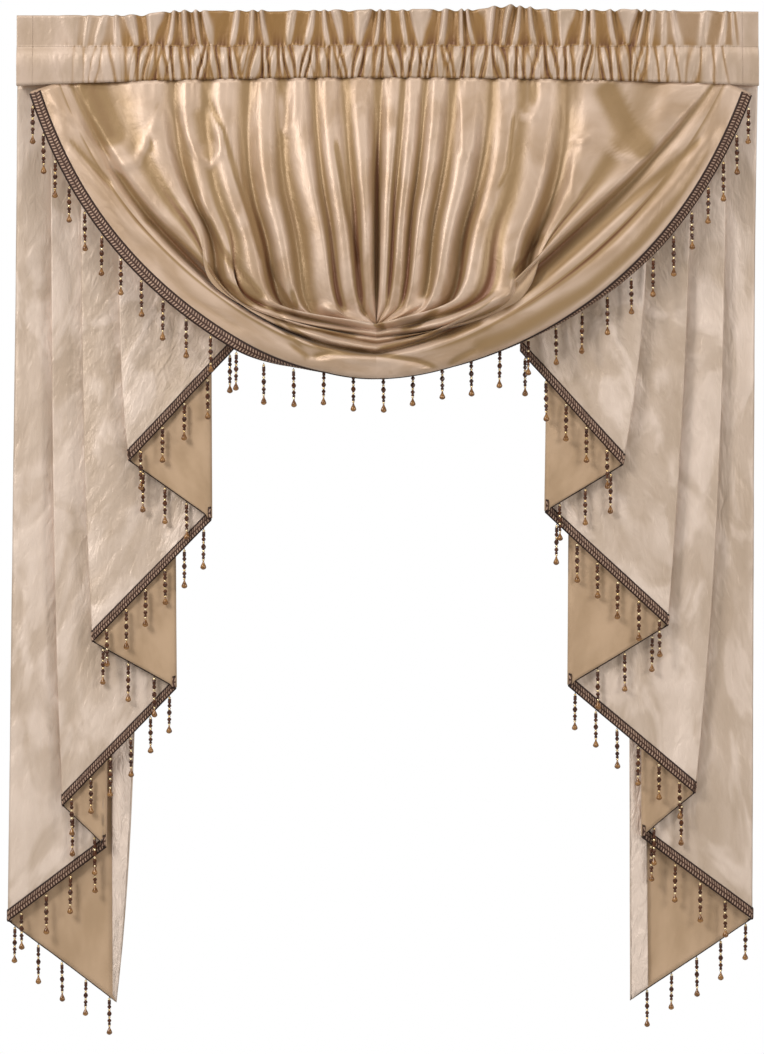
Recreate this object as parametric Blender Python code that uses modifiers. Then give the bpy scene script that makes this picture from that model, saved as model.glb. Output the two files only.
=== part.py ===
"""Swag and tail drape: a shirred heading with a rod pocket, a draped swag, two pleated tails and their bead fringe.

Metres, +Z up, the viewer on the -Y side. The origin is the middle of the rod pocket.
"""
import math

import bpy
import numpy as np

CLOTH = 0.0010              # thickness of one sheet
GAP = 0.0004                # between sewn pieces
SEAM_GAP = 0.0009           # under the lower stitch line, where slanting edges rise
MM = 0.001

# Heading, left to right along X
HEAD_LEFT, HEAD_RIGHT = -0.597, 0.597
POCKET_TOP = 0.024          # upper stitch line
GATHER_PITCH = 0.0205       # mean distance of two gathers
RUFFLE = 0.0014             # half the ruffle's thickness
STITCH_BULGE = 0.0006       # added to it where the ruffle runs into the pocket
POCKET_DEPTH = 0.0125       # half the pocket's depth, front to back
POCKET_WALL = 0.0013
SEAM_FOLD = 0.0020          # height of the doubled cloth at the lower stitch line
SEAM_FRONT, SEAM_BACK = -0.0105, 0.0035
SEAM_MIDDLE, SEAM_ENDS = -0.0260, -0.0385   # lower stitch line, drawn up by the gathers in the middle
SHOULDER, BELLY = 0.55, -0.10               # pocket's upper bend and fullest place, in half heights from its middle
SHOULDER_DEPTH = 0.80                       # pocket's depth at the bend, as a share of the full one
# How far the gathers swing the cloth to the front and back, in metres
SWING_EDGE, SWING_RUFFLE, SWING_STITCH = 0.0065, 0.0045, 0.0014
SWING_SHOULDER, SWING_BELLY, SWING_SEAM = 0.0022, 0.0026, 0.0012
SWING_BACK_SHOULDER, SWING_BACK_BELLY = 0.0018, 0.0022

# Ruffle's edge: x, z
RUFFLE_EDGE = (
    (-0.597, 0.074),
    (-0.400, 0.074),
    (-0.340, 0.081),
    (0.130, 0.083),
    (0.197, 0.090),
    (0.260, 0.083),
    (0.430, 0.082),
    (0.597, 0.080),
)

# Where the heading is flat, softly folded or densely gathered: x, gather strength
GATHER_STRENGTH = (
    (-0.597, 0.0),
    (-0.540, 0.05),
    (-0.500, 0.45),
    (-0.430, 0.55),
    (-0.400, 1.0),
    (0.400, 1.0),
    (0.440, 0.5),
    (0.540, 0.4),
    (0.575, 0.0),
    (0.597, 0.0),
)

# Fold lines of the swag, from the hem's crest to the tack in the middle. Each runs from the heading
# through a middle point to the centre line. Millimetres:
# x at the heading, depth at the heading, then x, z and depth of the middle point
FOLDS_LEFT = (
    (-537, -9, -347, -337, -44),
    (-526, -8, -333, -324, -39),
    (-511, -6, -315, -321, -24),
    (-495, -9, -302, -306, -46),
    (-444, -4, -291, -296, -45),
    (-379, -11, -280, -291, -50),
    (-347, -5, -267, -298, -30),
    (-318, -11, -249, -304, -54),
    (-292, -5, -233, -300, -47),
    (-262, -11, -212, -294, -59),
    (-222, -5, -188, -293, -36),
    (-193, -11, -167, -294, -60),
    (-168, -5, -141, -292, -44),
    (-140, -11, -106, -287, -62),
    (-120, -5, -89, -282, -46),
    (-99, -11, -71, -277, -62),
    (-72, -5, -50, -265, -43),
    (-46, -11, -33, -248, -60),
    (-14, -4, -17, -222, -34),
)
FOLDS_RIGHT = (
    (549, -9, 333, -351, -44),
    (539, -8, 313, -318, -40),
    (526, -6, 288, -287, -26),
    (511, -9, 271, -279, -48),
    (431, -4, 249, -292, -44),
    (342, -10, 233, -308, -50),
    (291, -5, 215, -320, -28),
    (249, -11, 189, -305, -62),
    (217, -6, 158, -291, -50),
    (195, -10, 138, -287, -58),
    (166, -5, 115, -284, -38),
    (132, -11, 93, -280, -60),
    (103, -5, 70, -274, -44),
    (80, -11, 51, -267, -60),
    (61, -5, 36, -259, -42),
    (44, -11, 22, -250, -58),
    (28, -6, 9, -242, -44),
    (9, -11, -3, -233, -54),
    (-14, -4, -17, -222, -34),
)
# The same fold lines where they meet on the centre line, as a stack of drawn-up creases: z, depth
CENTRE_X = -18
CENTRE_STACK = (
    (-498, -82),
    (-483, -88),
    (-470, -66),
    (-464, -76),
    (-458, -64),
    (-451, -73),
    (-443, -56),
    (-437, -63),
    (-432, -53),
    (-429, -58),
    (-426, -49),
    (-423.5, -53),
    (-421, -44),
    (-419, -47),
    (-417, -40),
    (-415, -42),
    (-413.3, -36),
    (-412, -37),
    (-411, -31),
)
BAND = 0.040                # cloth between the hem's crest and the hem's edge
BAND_STEPS = 5              # the braid covers the last two
SWAG_ROWS = 15
STRIP_PROUD = 0.19          # how far the braid stands past the hem, as a share of one step
# How far the hem's band rolls under, along each half from the heading to the centre: share, roll
ROLL_LEFT = ((0.0, 0.02), (0.70, 0.03), (0.90, 0.9), (1.0, 1.0))
ROLL_RIGHT = ((0.0, 0.12), (0.35, 0.30), (0.62, 0.62), (0.85, 1.0), (1.0, 1.0))
ROLL_ANGLE = 2.9            # full roll

# Edges of the tails' layers, front to back. Metres: x at the heading, x at the hem, z at the hem, bend of the fold
TAIL_LEFT = (
    (-0.250, -0.238, -0.451, 1.0),
    (-0.433, -0.416, -0.641, 5.0),
    (-0.286, -0.283, -0.735, 1.0),
    (-0.495, -0.476, -0.933, 3.0),
    (-0.347, -0.341, -1.008, 1.0),
    (-0.544, -0.526, -1.199, 3.0),
    (-0.449, -0.455, -1.266, 1.0),
    (-0.597, -0.616, -1.387, 0.8),
    (-0.413, -0.440, -1.519, 1.5),
    (-0.453, -0.446, -1.508, 1.0),
)
TAIL_RIGHT = (
    (0.226, 0.213, -0.464, 1.0),
    (0.421, 0.378, -0.648, 3.0),
    (0.263, 0.253, -0.723, 1.0),
    (0.491, 0.452, -0.907, 1.9),
    (0.297, 0.291, -1.004, 1.0),
    (0.547, 0.497, -1.178, 2.5),
    (0.416, 0.411, -1.250, 1.0),
    (0.597, 0.592, -1.384, 1.0),
    (0.390, 0.394, -1.516, 1.0),
    (0.412, 0.423, -1.495, 1.0),
)
# Depth of each layer at the heading and at the hem: reverse sides lie close, face sides hold the braid
LAYER_DEPTHS = (
    (0.0010, 0.0010),
    (0.0030, 0.0060),
    (0.0050, 0.0180),
    (0.0070, 0.0230),
    (0.0090, 0.0350),
    (0.0110, 0.0400),
    (0.0130, 0.0520),
    (0.0190, 0.0620),
    (0.0160, 0.0575),
)
SPREAD_HEIGHT = 0.42        # height below the heading over which the layers fan out
TAIL_ROWS = (0.0, 0.2, 0.4, 0.58, 0.74, 0.88, 1.0)      # shares of the height
FOLD_TURNS = (-90.0, -30.0, 30.0, 90.0)                 # degrees round a fold
RIPPLE, RIPPLE_TURN = 0.0020, 46.0                      # soft ripple that all layers share
# Bead strands on each layer's hem: number, share of the first, share of the last
STRANDS_LEFT = (
    (5, 0.09, 0.90),
    (3, 0.17, 0.69),
    (6, 0.07, 0.88),
    (3, 0.12, 0.73),
    (6, 0.06, 0.92),
    (2, 0.22, 0.72),
    (4, 0.12, 0.86),
    (5, 0.06, 0.93),
)
STRANDS_RIGHT = (
    (5, 0.05, 0.85),
    (3, 0.15, 0.80),
    (6, 0.10, 0.93),
    (3, 0.15, 0.70),
    (6, 0.06, 0.88),
    (2, 0.25, 0.75),
    (4, 0.09, 0.75),
    (5, 0.05, 0.86),
)
STRIP = 0.0016              # thickness of the braid
TAIL_STRIP_WIDTH = 0.021    # braid on the tails, measured straight down
STRIP_BELOW_HEM = 0.0022
SWAG_STRANDS = 33
SWAG_STRAND_ENDS = (0.012, 0.988)   # shares of the hem's length at the first and the last strand
STRAND_RADIUS = 0.0017
DROP_RADIUS = 0.0042
STRAND_LENGTH = 0.064
LENGTH_WANDER = 0.06        # as a share of the length
STRAND_ROOT = 0.005         # inside the braid
ROOT_SINK = 0.45            # how deep a root sits in the braid, as a share of its thickness
ROOT_COVER = 0.60           # braid that covers a leaning root, as a share of its thickness
ROOT_SHORT = 0.30           # root where the braid is turned up, as a share of its thickness

COLOURS = {
    "heading": (0.62, 0.45, 0.28),
    "swag": (0.64, 0.46, 0.28),
    "tail_left": (0.72, 0.59, 0.47),
    "tail_right": (0.72, 0.59, 0.47),
    "swag_fringe": (0.07, 0.03, 0.02),
    "tail_left_fringe": (0.07, 0.03, 0.02),
    "tail_right_fringe": (0.07, 0.03, 0.02),
}


def material(name, roughness):
    """A plain finish in the piece's colour."""
    finish = bpy.data.materials.new(name + "_finish")
    finish.use_nodes = True
    shader = finish.node_tree.nodes["Principled BSDF"]
    shader.inputs["Base Color"].default_value = (*COLOURS[name], 1.0)
    shader.inputs["Roughness"].default_value = roughness
    shader.inputs["Metallic"].default_value = 0.0
    return finish


def add_object(name, points, faces, collection, roughness=0.4):
    """One named object at the drape's root."""
    mesh = bpy.data.meshes.new(name)
    mesh.from_pydata([tuple(map(float, point)) for point in points], [], faces)
    mesh.validate()
    mesh.shade_smooth()
    thing = bpy.data.objects.new(name, mesh)
    collection.objects.link(thing)
    if name in COLOURS:
        thing.data.materials.append(material(name, roughness))
    return thing


def solidify(thing, thickness):
    """Gives an open sheet its thickness, half to each side."""
    wall = thing.modifiers.new("thickness", "SOLIDIFY")
    wall.thickness = thickness
    wall.offset = 0.0
    wall.use_even_offset = True
    wall.thickness_clamp = 0.0


def grid_faces(rows, columns, flip=False):
    """Four-sided faces of a grid whose points are stored row by row."""
    faces = []
    for row in range(rows - 1):
        for column in range(columns - 1):
            start = row * columns + column
            face = (start, start + 1, start + columns + 1, start + columns)
            faces.append(face[::-1] if flip else face)
    return faces


def leaning_faces(numbers, falling):
    """Triangles of a grid of point numbers, whose diagonals mirror each other about its middle column.

    The left half's diagonals fall to the right where falling is true, and rise where it is not, so that a
    strip laid along a twisted sheet can have the sheet's own facets.
    """
    rows, columns = numbers.shape
    faces = []
    for row in range(rows - 1):
        for column in range(columns - 1):
            a, b = numbers[row, column], numbers[row + 1, column]
            c, d = numbers[row + 1, column + 1], numbers[row, column + 1]
            left = column < columns // 2
            pair = ((a, b, c), (a, c, d)) if left == falling else ((a, b, d), (b, c, d))
            faces += [tuple(int(number) for number in face) for face in pair]
    return faces


def column_of(table, index):
    """One column of a table of rows."""
    return np.array([row[index] for row in table], dtype=float)


def gather_turns(x):
    """Number of gathers from the middle to x, with a pitch that wanders."""
    return x / GATHER_PITCH + 0.35 * np.sin(x * 41.0 + 0.6) + 0.15 * np.sin(x * 97.0)


def gather_wave(x):
    """Uneven gathers along the heading: a wave whose pitch and height wander, from -1 to 1."""
    height = 0.78 + 0.22 * np.sin(x * 63.0 + 1.0)
    return height * np.sin(2.0 * math.pi * gather_turns(x)) * np.interp(x, *np.transpose(GATHER_STRENGTH))


def gather_stations():
    """Places along the heading: its ends, and each crest and hollow of the gathers between them."""
    fine = np.linspace(HEAD_LEFT, HEAD_RIGHT, 4001)
    turns = gather_turns(fine)
    extremes = np.arange(math.ceil(turns[0] * 2 - 0.5), math.floor(turns[-1] * 2 - 0.5) + 1) * 0.5 + 0.25
    inner = np.interp(extremes, turns, fine)
    clear = (inner > HEAD_LEFT + 0.004) & (inner < HEAD_RIGHT - 0.004)
    return np.concatenate([[HEAD_LEFT], inner[clear], [HEAD_RIGHT]])


def lower_edge(x):
    """Height of the heading's lower stitch line: a shallow arch."""
    return SEAM_MIDDLE + (SEAM_ENDS - SEAM_MIDDLE) * (x / HEAD_RIGHT) ** 2


def upper_edge(x):
    """Height of the ruffle's edge, slightly uneven."""
    strength = np.interp(x, *np.transpose(GATHER_STRENGTH))
    return np.interp(x, *np.transpose(RUFFLE_EDGE)) + 0.0020 * strength * np.sin(x * 53.0 + 2.0)


def build_heading(collection):
    """Ruffle and rod pocket: one ring-shaped section, gathered, carried from end to end.

    Outer points run down the front, under the seam and up the back. Inner points are the pocket's wall.
    """
    x = gather_stations()
    count = len(x)
    wave = gather_wave(x)
    low = lower_edge(x)
    high = upper_edge(x)
    stitch = np.full(count, POCKET_TOP)
    half = 0.5 * (POCKET_TOP - low)
    shoulder = low + half * (1.0 + SHOULDER)
    belly = low + half * (1.0 + BELLY)
    bend = SHOULDER_DEPTH * POCKET_DEPTH
    # Height, depth and swing with the gathers for each point of the section
    outer = (
        (high, -RUFFLE, SWING_EDGE),
        (0.5 * (high + stitch), -RUFFLE, SWING_RUFFLE),
        (stitch, -RUFFLE - STITCH_BULGE, SWING_STITCH),
        (shoulder, -bend, SWING_SHOULDER),
        (belly, -POCKET_DEPTH, SWING_BELLY),
        (low, SEAM_FRONT, SWING_SEAM),
        (low, SEAM_BACK, SWING_SEAM),
        (belly, POCKET_DEPTH, SWING_BACK_BELLY),
        (shoulder, bend, SWING_BACK_SHOULDER),
        (stitch, RUFFLE + STITCH_BULGE, SWING_STITCH),
        (0.5 * (high + stitch), RUFFLE, SWING_RUFFLE),
        (high, RUFFLE, SWING_EDGE),
    )
    inner = (
        (stitch - 1.7 * POCKET_WALL, 0.0, SWING_STITCH),
        (shoulder - 0.3 * POCKET_WALL, POCKET_WALL - bend, SWING_SHOULDER),
        (belly, POCKET_WALL - POCKET_DEPTH, SWING_BELLY),
        (low + SEAM_FOLD, SEAM_FRONT + 2.0 * POCKET_WALL, SWING_SEAM),
        (low + SEAM_FOLD, SEAM_BACK - 0.6 * POCKET_WALL, SWING_SEAM),
        (belly, POCKET_DEPTH - POCKET_WALL, SWING_BACK_BELLY),
        (shoulder - 0.3 * POCKET_WALL, bend - POCKET_WALL, SWING_BACK_SHOULDER),
    )
    rings = [np.stack([x, depth + swing * wave, z], axis=1) for z, depth, swing in outer + inner]
    points = np.stack(rings, axis=1).reshape(-1, 3)
    total, out = len(outer) + len(inner), len(outer)
    faces = []
    for i in range(count - 1):
        a, b = i * total, (i + 1) * total
        for k in range(out):
            following = (k + 1) % out
            faces.append((a + k, a + following, b + following, b + k))
        for k in range(len(inner)):
            following = (k + 1) % len(inner)
            faces.append((b + out + k, b + out + following, a + out + following, a + out + k))
    # End walls: the ruffle's two fields, then the pocket's wall field by field
    pairs = ((2, 0), (3, 1), (4, 2), (5, 3), (6, 4), (7, 5), (8, 6), (9, 0))
    fields = [(0, 11, 10, 1), (1, 10, 9, 2), (2, 9, out)]
    for (p, q), (r, s) in zip(pairs[:-1], pairs[1:]):
        fields.append((p, out + q, out + s, r))
    last = (count - 1) * total
    faces += [tuple(field) for field in fields]
    faces += [tuple(last + k for k in reversed(field)) for field in fields]
    return add_object("heading", points, faces, collection)


def fold_fields(folds):
    """Start, middle and end points of the fold lines of one half, in metres."""
    head_x = column_of(folds, 0) * MM
    start = np.stack([head_x, column_of(folds, 1) * MM, lower_edge(head_x) - SEAM_GAP], axis=1)
    middle = np.stack([column_of(folds, 2), column_of(folds, 4), column_of(folds, 3)], axis=1) * MM
    stack_z, stack_y = column_of(CENTRE_STACK, 0), column_of(CENTRE_STACK, 1)
    end = np.stack([CENTRE_X + 0 * stack_z, stack_y, stack_z], axis=1) * MM
    return start, middle, end


def half_swag(folds, roll, rows, steps, band_steps, side):
    """Points of one half of the swag: rows from the heading to the centre line, columns from the hem inwards.

    Every fold line is the parabola through its start, middle and end points, bent level at its end. Between
    two fold lines the place goes over evenly and the depth follows half a cosine wave. The band outside the
    first fold line is a strip that turns by the roll's angle on an arc of its own length.
    """
    start, middle, end = fold_fields(folds)
    index = np.arange(0, (len(folds) - 1) * steps + 1) / steps
    low = np.minimum(index.astype(int), len(folds) - 2)
    part = (index - low)[:, None]
    ease = 0.5 - 0.5 * np.cos(math.pi * part)

    def between(values):
        even = values[low] * (1 - part) + values[low + 1] * part
        even[:, 1] = (values[low] * (1 - ease) + values[low + 1] * ease)[:, 1]
        return even

    a, m, b = between(start), between(middle), between(end)
    a[:, 2] = lower_edge(a[:, 0]) - SEAM_GAP
    t = np.linspace(0.0, 1.0, rows)[:, None, None]
    body = a * (1 - t) * (1 - 2 * t) + m * 4 * t * (1 - t) + b * t * (2 * t - 1)
    # The outer folds run level across the centre line, the inner ones drop steeply to the tack
    level = (1.0 - index / index[-1])[:, None] ** 2 * (a - 4 * m + 3 * b) * np.array((0.0, 1.0, 1.0))
    body = body + level * t ** 6 * (1 - t)
    # Band: outward direction square to the first fold line, straight down on the centre line
    crest = body[:, 0]
    share = t[:, 0, 0]
    along = np.gradient(crest, axis=0)
    out = np.stack([along[:, 2], 0 * share, -along[:, 0]], axis=1) * (1 if side < 0 else -1)
    out[:, 0] *= 1 - share ** 6
    out /= np.linalg.norm(out, axis=1)[:, None]
    angle = ROLL_ANGLE * np.interp(share, *np.transpose(roll))
    radius = BAND / angle
    columns = []
    for k in range(band_steps, 0, -1):
        turn = angle * k / band_steps
        step = out * (radius * np.sin(turn))[:, None]
        step[:, 1] += radius * (1 - np.cos(turn))
        columns.append(crest + step)
    band = np.stack(columns, axis=1)
    return np.concatenate([band, body], axis=1)


def swag_grid(rows, steps, band_steps):
    """Both halves side by side, sharing the fold line in the middle."""
    left = half_swag(FOLDS_LEFT, ROLL_LEFT, rows, steps, band_steps, -1)
    right = half_swag(FOLDS_RIGHT, ROLL_RIGHT, rows, steps, band_steps, 1)
    return np.concatenate([left, right[:, -2::-1]], axis=1)


def build_swag(collection):
    """One sheet. The last row of the left half is sewn to that of the right half along the centre line."""
    grid = swag_grid(SWAG_ROWS, 2, BAND_STEPS)
    rows, columns = grid.shape[:2]
    numbers = np.arange(rows * columns).reshape(rows, columns)
    half = columns // 2
    numbers[-1, half + 1:] = numbers[-1, :half][::-1]
    faces = leaning_faces(numbers, True)
    used = rows * columns - half
    thing = add_object("swag", grid.reshape(-1, 3)[:used], faces, collection)
    solidify(thing, CLOTH)
    return thing


def tail_path(edges, inner_steps):
    """Stations across a folded tail, front to back: layer, share of the way to its far edge, turn.

    The turn is the angle round the fold at the layer's far edge, and None on the flat of the layer.
    """
    stations = []
    layers = len(edges) - 1
    for layer in range(layers):
        for step in range(inner_steps + 1):
            stations.append((layer, (step + (0.0 if layer == 0 else 0.5)) / (inner_steps + 1), None))
        if layer < layers - 1:
            for turn in FOLD_TURNS:
                stations.append((layer, 1.0, math.radians(turn)))
    stations.append((layers - 1, 1.0, None))
    return stations


def tail_points(edges, stations, shares):
    """Points of a tail for every share of its height and every station across.

    The place goes evenly from one edge to the next, and an edge bends by a power of the height's share.
    The layers fan out below the heading and hang parallel from SPREAD_HEIGHT down. On a fold the sheet
    turns half round between the depths of its two layers.
    """
    v = np.asarray(shares, dtype=float)[:, None]
    table = np.array(edges)
    columns = []
    for layer, part, turn in stations:
        x_near, x_far = (row[0] + (row[1] - row[0]) * v ** row[3] for row in (table[layer], table[layer + 1]))
        low = table[layer, 2] * (1 - part) + table[layer + 1, 2] * part
        height = (lower_edge(x_near * (1 - part) + x_far * part) - SEAM_GAP - low) * v
        fan = 1.0 - (1.0 - np.minimum(height / SPREAD_HEIGHT, 1.0)) ** 2
        near, far = (LAYER_DEPTHS[k][0] + (LAYER_DEPTHS[k][1] - LAYER_DEPTHS[k][0]) * fan
                     for k in (layer, min(layer + 1, len(LAYER_DEPTHS) - 1)))
        if turn is None:
            x = x_near * (1 - part) + x_far * part
            y = near
        else:
            outward = np.sign(x_far - x_near)
            reach = 0.5 * (far - near)
            x = x_far + outward * np.abs(reach) * (math.cos(turn) - 1.0)
            y = near + reach + reach * math.sin(turn)
        top = lower_edge(x) - SEAM_GAP
        z = top + (low - top) * v
        y = y + RIPPLE * np.sin(x * RIPPLE_TURN) * fan
        columns.append(np.stack([x[:, 0], y[:, 0], z[:, 0]], axis=1))
    return np.stack(columns, axis=1)


def build_tail(name, edges, collection):
    """One sheet folded back and forth."""
    stations = tail_path(edges, 1)
    grid = tail_points(edges, stations, TAIL_ROWS)
    rows, columns = grid.shape[:2]
    thing = add_object(name, grid.reshape(-1, 3), grid_faces(rows, columns, flip=edges[0][0] < 0), collection)
    solidify(thing, CLOTH)
    return thing


def strand(points, faces, x, y, top, length):
    """Adds one four-sided bead strand: a thin rod and a drop at its end."""
    levels = (
        (top, STRAND_RADIUS),
        (top - length + 2.6 * DROP_RADIUS, STRAND_RADIUS),
        (top - length + 1.1 * DROP_RADIUS, DROP_RADIUS),
        (top - length, 0.35 * DROP_RADIUS),
    )
    base = len(points)
    for z, radius in levels:
        for dx, dy in ((1, 0), (0, 1), (-1, 0), (0, -1)):
            points.append((x + radius * dx, y + radius * dy, z))
    faces.append((base, base + 1, base + 2, base + 3))
    for level in range(len(levels) - 1):
        for side in range(4):
            here, there = base + 4 * level + side, base + 4 * level + (side + 1) % 4
            faces.append((here, here + 4, there + 4, there))
    end = base + 4 * (len(levels) - 1)
    faces.append((end + 3, end + 2, end + 1, end))


def fuse_strands(strip, name, strands, collection):
    """Joins the strands' roots to the braid strip."""
    points, faces = [], []
    for x, y, top, length in strands:
        strand(points, faces, x, y, top, length)
    beads = add_object(name + "_beads", points, faces, collection)
    bpy.context.view_layer.update()
    depsgraph = bpy.context.evaluated_depsgraph_get()
    solid = bpy.data.meshes.new_from_object(strip.evaluated_get(depsgraph))
    strip.modifiers.clear()
    strip.data = solid
    union = strip.modifiers.new("roots", "BOOLEAN")
    union.operation = "UNION"
    union.solver = "EXACT"
    union.object = beads
    bpy.context.view_layer.update()
    fused = bpy.data.meshes.new_from_object(strip.evaluated_get(bpy.context.evaluated_depsgraph_get()))
    strip.modifiers.clear()
    strip.data = fused
    bpy.data.objects.remove(beads)


def strip_object(name, lines, faces, collection):
    """Braid strip through two or more lines, from its upper edge to its lower one, given its thickness."""
    thing = add_object(name, np.concatenate(lines), faces, collection, 0.7)
    solidify(thing, STRIP)
    return thing


def face_normals(line, across):
    """Directions square to a line of points and to the direction across it."""
    normal = np.cross(np.gradient(line, axis=0), across)
    return normal / np.linalg.norm(normal, axis=1)[:, None]


def hang(line, upper, outward, places, shares, wander):
    """Rows of strands hung from a strip's lower line at the given places along it.

    A strand stands off the cloth by its own thickness. Where the strip leans, the root is short enough
    to end inside the strip.
    """
    off = STRAND_RADIUS - ROOT_SINK * STRIP
    inside = ROOT_COVER * STRIP
    rim = line + outward * off
    rows = []
    for number, place in enumerate(places):
        x, y, z = (np.interp(place, shares, rim[:, axis]) for axis in range(3))
        facing, lean = (abs(np.interp(place, shares, outward[:, axis])) for axis in (1, 2))
        rise = np.interp(place, shares, (line - upper)[:, 2])
        root = min(STRAND_ROOT, max(inside + off - STRAND_RADIUS * facing, 0.0) / max(lean, 0.001))
        if rise > 0.0:
            root = ROOT_SHORT * STRIP
        length = STRAND_LENGTH * (1.0 + LENGTH_WANDER * math.sin(wander * number))
        rows.append((x, y, z + root, length + root))
    return rows


def build_tail_fringe(name, edges, strands, collection):
    """Braid on the tail's face side along its hem, and its bead strands."""
    mirror = 1.0 if edges[0][0] < 0 else -1.0
    stations = tail_path(edges[:-1], 1)
    reach = 0.5 * (CLOTH + STRIP) + GAP
    heights = np.abs(np.interp([s[0] + s[1] for s in stations], range(len(edges) - 1),
                               [row[2] for row in edges[:-1]]))
    full = tail_points(edges[:-1], stations, (1.0,))[0]
    upper = tail_points_at(edges, stations, 1.0 - (TAIL_STRIP_WIDTH - STRIP_BELOW_HEM) / heights)
    lower = full + np.array((0.0, 0.0, -STRIP_BELOW_HEM))
    across = lower - upper
    upper_line = upper + mirror * reach * face_normals(upper, across)
    outward = mirror * face_normals(lower, across)
    lower_line = lower + reach * outward
    faces = grid_faces(2, len(stations), mirror < 0)
    strip = strip_object(name, (upper_line, lower_line), faces, collection)
    places = [layer + first + (last - first) * k / (count - 1)
              for layer, (count, first, last) in enumerate(strands) for k in range(count)]
    flat = [i for i, station in enumerate(stations) if station[2] is None or abs(station[2]) > 1.5]
    shares = np.array([stations[i][0] + stations[i][1] for i in flat])
    hung = hang(lower_line[flat], upper_line[flat], outward[flat], places, shares, 2.3)
    fuse_strands(strip, name, hung, collection)
    return strip


def tail_points_at(edges, stations, shares):
    """One point for each station, each at its own share of the height."""
    grid = [tail_points(edges[:-1], [station], (share,))[0, 0] for station, share in zip(stations, shares)]
    return np.array(grid)


def build_swag_fringe(collection):
    """Braid on the swag's face side along its hem, and its bead strands, evenly spaced along the hem."""
    grid = swag_grid(SWAG_ROWS, 1, BAND_STEPS)
    # left half downwards, then right half upwards; the last row is shared
    lines = [np.concatenate([grid[:, k], grid[-2::-1, -1 - k]])[1:-1] for k in (2, 1, 0)]
    lines[2] = lines[2] + (lines[2] - lines[1]) * STRIP_PROUD
    across = lines[1] - lines[0], lines[2] - lines[0], lines[2] - lines[1]
    reach = 0.5 * (CLOTH + STRIP) + 1.5 * GAP
    outward = [-face_normals(line, direction) for line, direction in zip(lines, across)]
    lines = [line + reach * normal for line, normal in zip(lines, outward)]
    lower_line = lines[2]
    numbers = np.arange(len(lines) * len(lower_line)).reshape(len(lines), -1)
    strip = strip_object("swag_fringe", lines, leaning_faces(numbers, False), collection)
    lengths = np.concatenate([[0.0], np.cumsum(np.linalg.norm(np.diff(lower_line, axis=0), axis=1))])
    places = np.linspace(*SWAG_STRAND_ENDS, SWAG_STRANDS) * lengths[-1]
    hung = hang(lower_line, lines[1], outward[2], places, lengths, 1.7)
    fuse_strands(strip, "swag_fringe", hung, collection)
    return strip


def main():
    for thing in list(bpy.data.objects):
        bpy.data.objects.remove(thing, do_unlink=True)
    collection = bpy.data.collections.new("swag_and_tail_drape")
    bpy.context.scene.collection.children.link(collection)
    root = bpy.data.objects.new("drape_root", None)
    collection.objects.link(root)
    pieces = [
        build_heading(collection),
        build_swag(collection),
        build_tail("tail_left", TAIL_LEFT, collection),
        build_tail("tail_right", TAIL_RIGHT, collection),
        build_swag_fringe(collection),
        build_tail_fringe("tail_left_fringe", TAIL_LEFT, STRANDS_LEFT, collection),
        build_tail_fringe("tail_right_fringe", TAIL_RIGHT, STRANDS_RIGHT, collection),
    ]
    for piece in pieces:
        piece.parent = root


main()
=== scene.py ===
"""Swag and tail drape, finished: satin sheets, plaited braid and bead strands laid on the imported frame.

Metres, +Z up, the viewer on the -Y side. The origin is the middle of the rod pocket.
"""
import math

import bpy
import numpy as np
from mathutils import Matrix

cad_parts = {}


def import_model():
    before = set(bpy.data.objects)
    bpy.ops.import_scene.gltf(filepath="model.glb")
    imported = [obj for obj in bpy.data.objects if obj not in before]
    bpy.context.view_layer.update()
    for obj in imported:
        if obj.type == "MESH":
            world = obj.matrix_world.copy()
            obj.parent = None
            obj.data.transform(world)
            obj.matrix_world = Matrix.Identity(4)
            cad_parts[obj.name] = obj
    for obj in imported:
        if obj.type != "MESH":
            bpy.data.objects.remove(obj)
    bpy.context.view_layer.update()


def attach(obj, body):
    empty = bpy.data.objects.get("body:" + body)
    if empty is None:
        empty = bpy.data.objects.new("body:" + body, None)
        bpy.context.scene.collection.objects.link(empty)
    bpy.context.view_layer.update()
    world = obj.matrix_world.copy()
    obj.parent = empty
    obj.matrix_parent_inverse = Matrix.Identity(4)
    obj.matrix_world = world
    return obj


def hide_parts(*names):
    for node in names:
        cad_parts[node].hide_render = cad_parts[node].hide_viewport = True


MM = 0.001
CLOTH = 0.0008              # thickness of one sheet
SEAM_GAP = 0.0004           # under the heading's lower stitch line
# The tails' layers behind the pocket reach up behind it: how far, and the depths between which they rise to that
TUCK, TUCK_FRONT, TUCK_BACK = 0.0030, 0.0055, 0.0095

# Heading, left to right along X
HEAD_LEFT, HEAD_RIGHT = -0.597, 0.597
HEAD_COLUMNS = 800
POCKET_TOP = 0.024          # upper stitch line
SEAM_MIDDLE, SEAM_ENDS = -0.0260, -0.0385
# Along x: the ruffle's edge height, and the share of the full gathering
RUFFLE_EDGE = ((-0.597, 0.074), (-0.400, 0.074), (-0.340, 0.081), (0.130, 0.083),
               (0.197, 0.090), (0.260, 0.083), (0.430, 0.082), (0.597, 0.080))
GATHER_STRENGTH = ((-0.597, 0.0), (-0.545, 0.05), (-0.500, 0.35), (-0.430, 0.50), (-0.400, 1.0),
                   (0.400, 1.0), (0.440, 0.5), (0.540, 0.4), (0.575, 0.0), (0.597, 0.0))
GATHER_PITCH = 0.0265       # mean width of a gather in the ruffle
CREST_WIDTH = 2.6           # power of the crests of the ruffle: the higher, the narrower
POCKET_PITCH = 0.0150       # mean width of a puff in the pocket
# Slanting crumples across the puffs: mean width, how far they lean over the pocket's height, their height
CROSS_PITCH, CROSS_LEAN, CROSS = 0.0115, 0.0120, 0.0016
STITCH = 0.0030             # length of a stitch with its gap
WANDER = 0.0014             # how far the upper stitch line is drawn up and down by its gathers
SIDE_HEM = 0.026            # from the heading's ends to the stitches of its side hems
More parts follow.
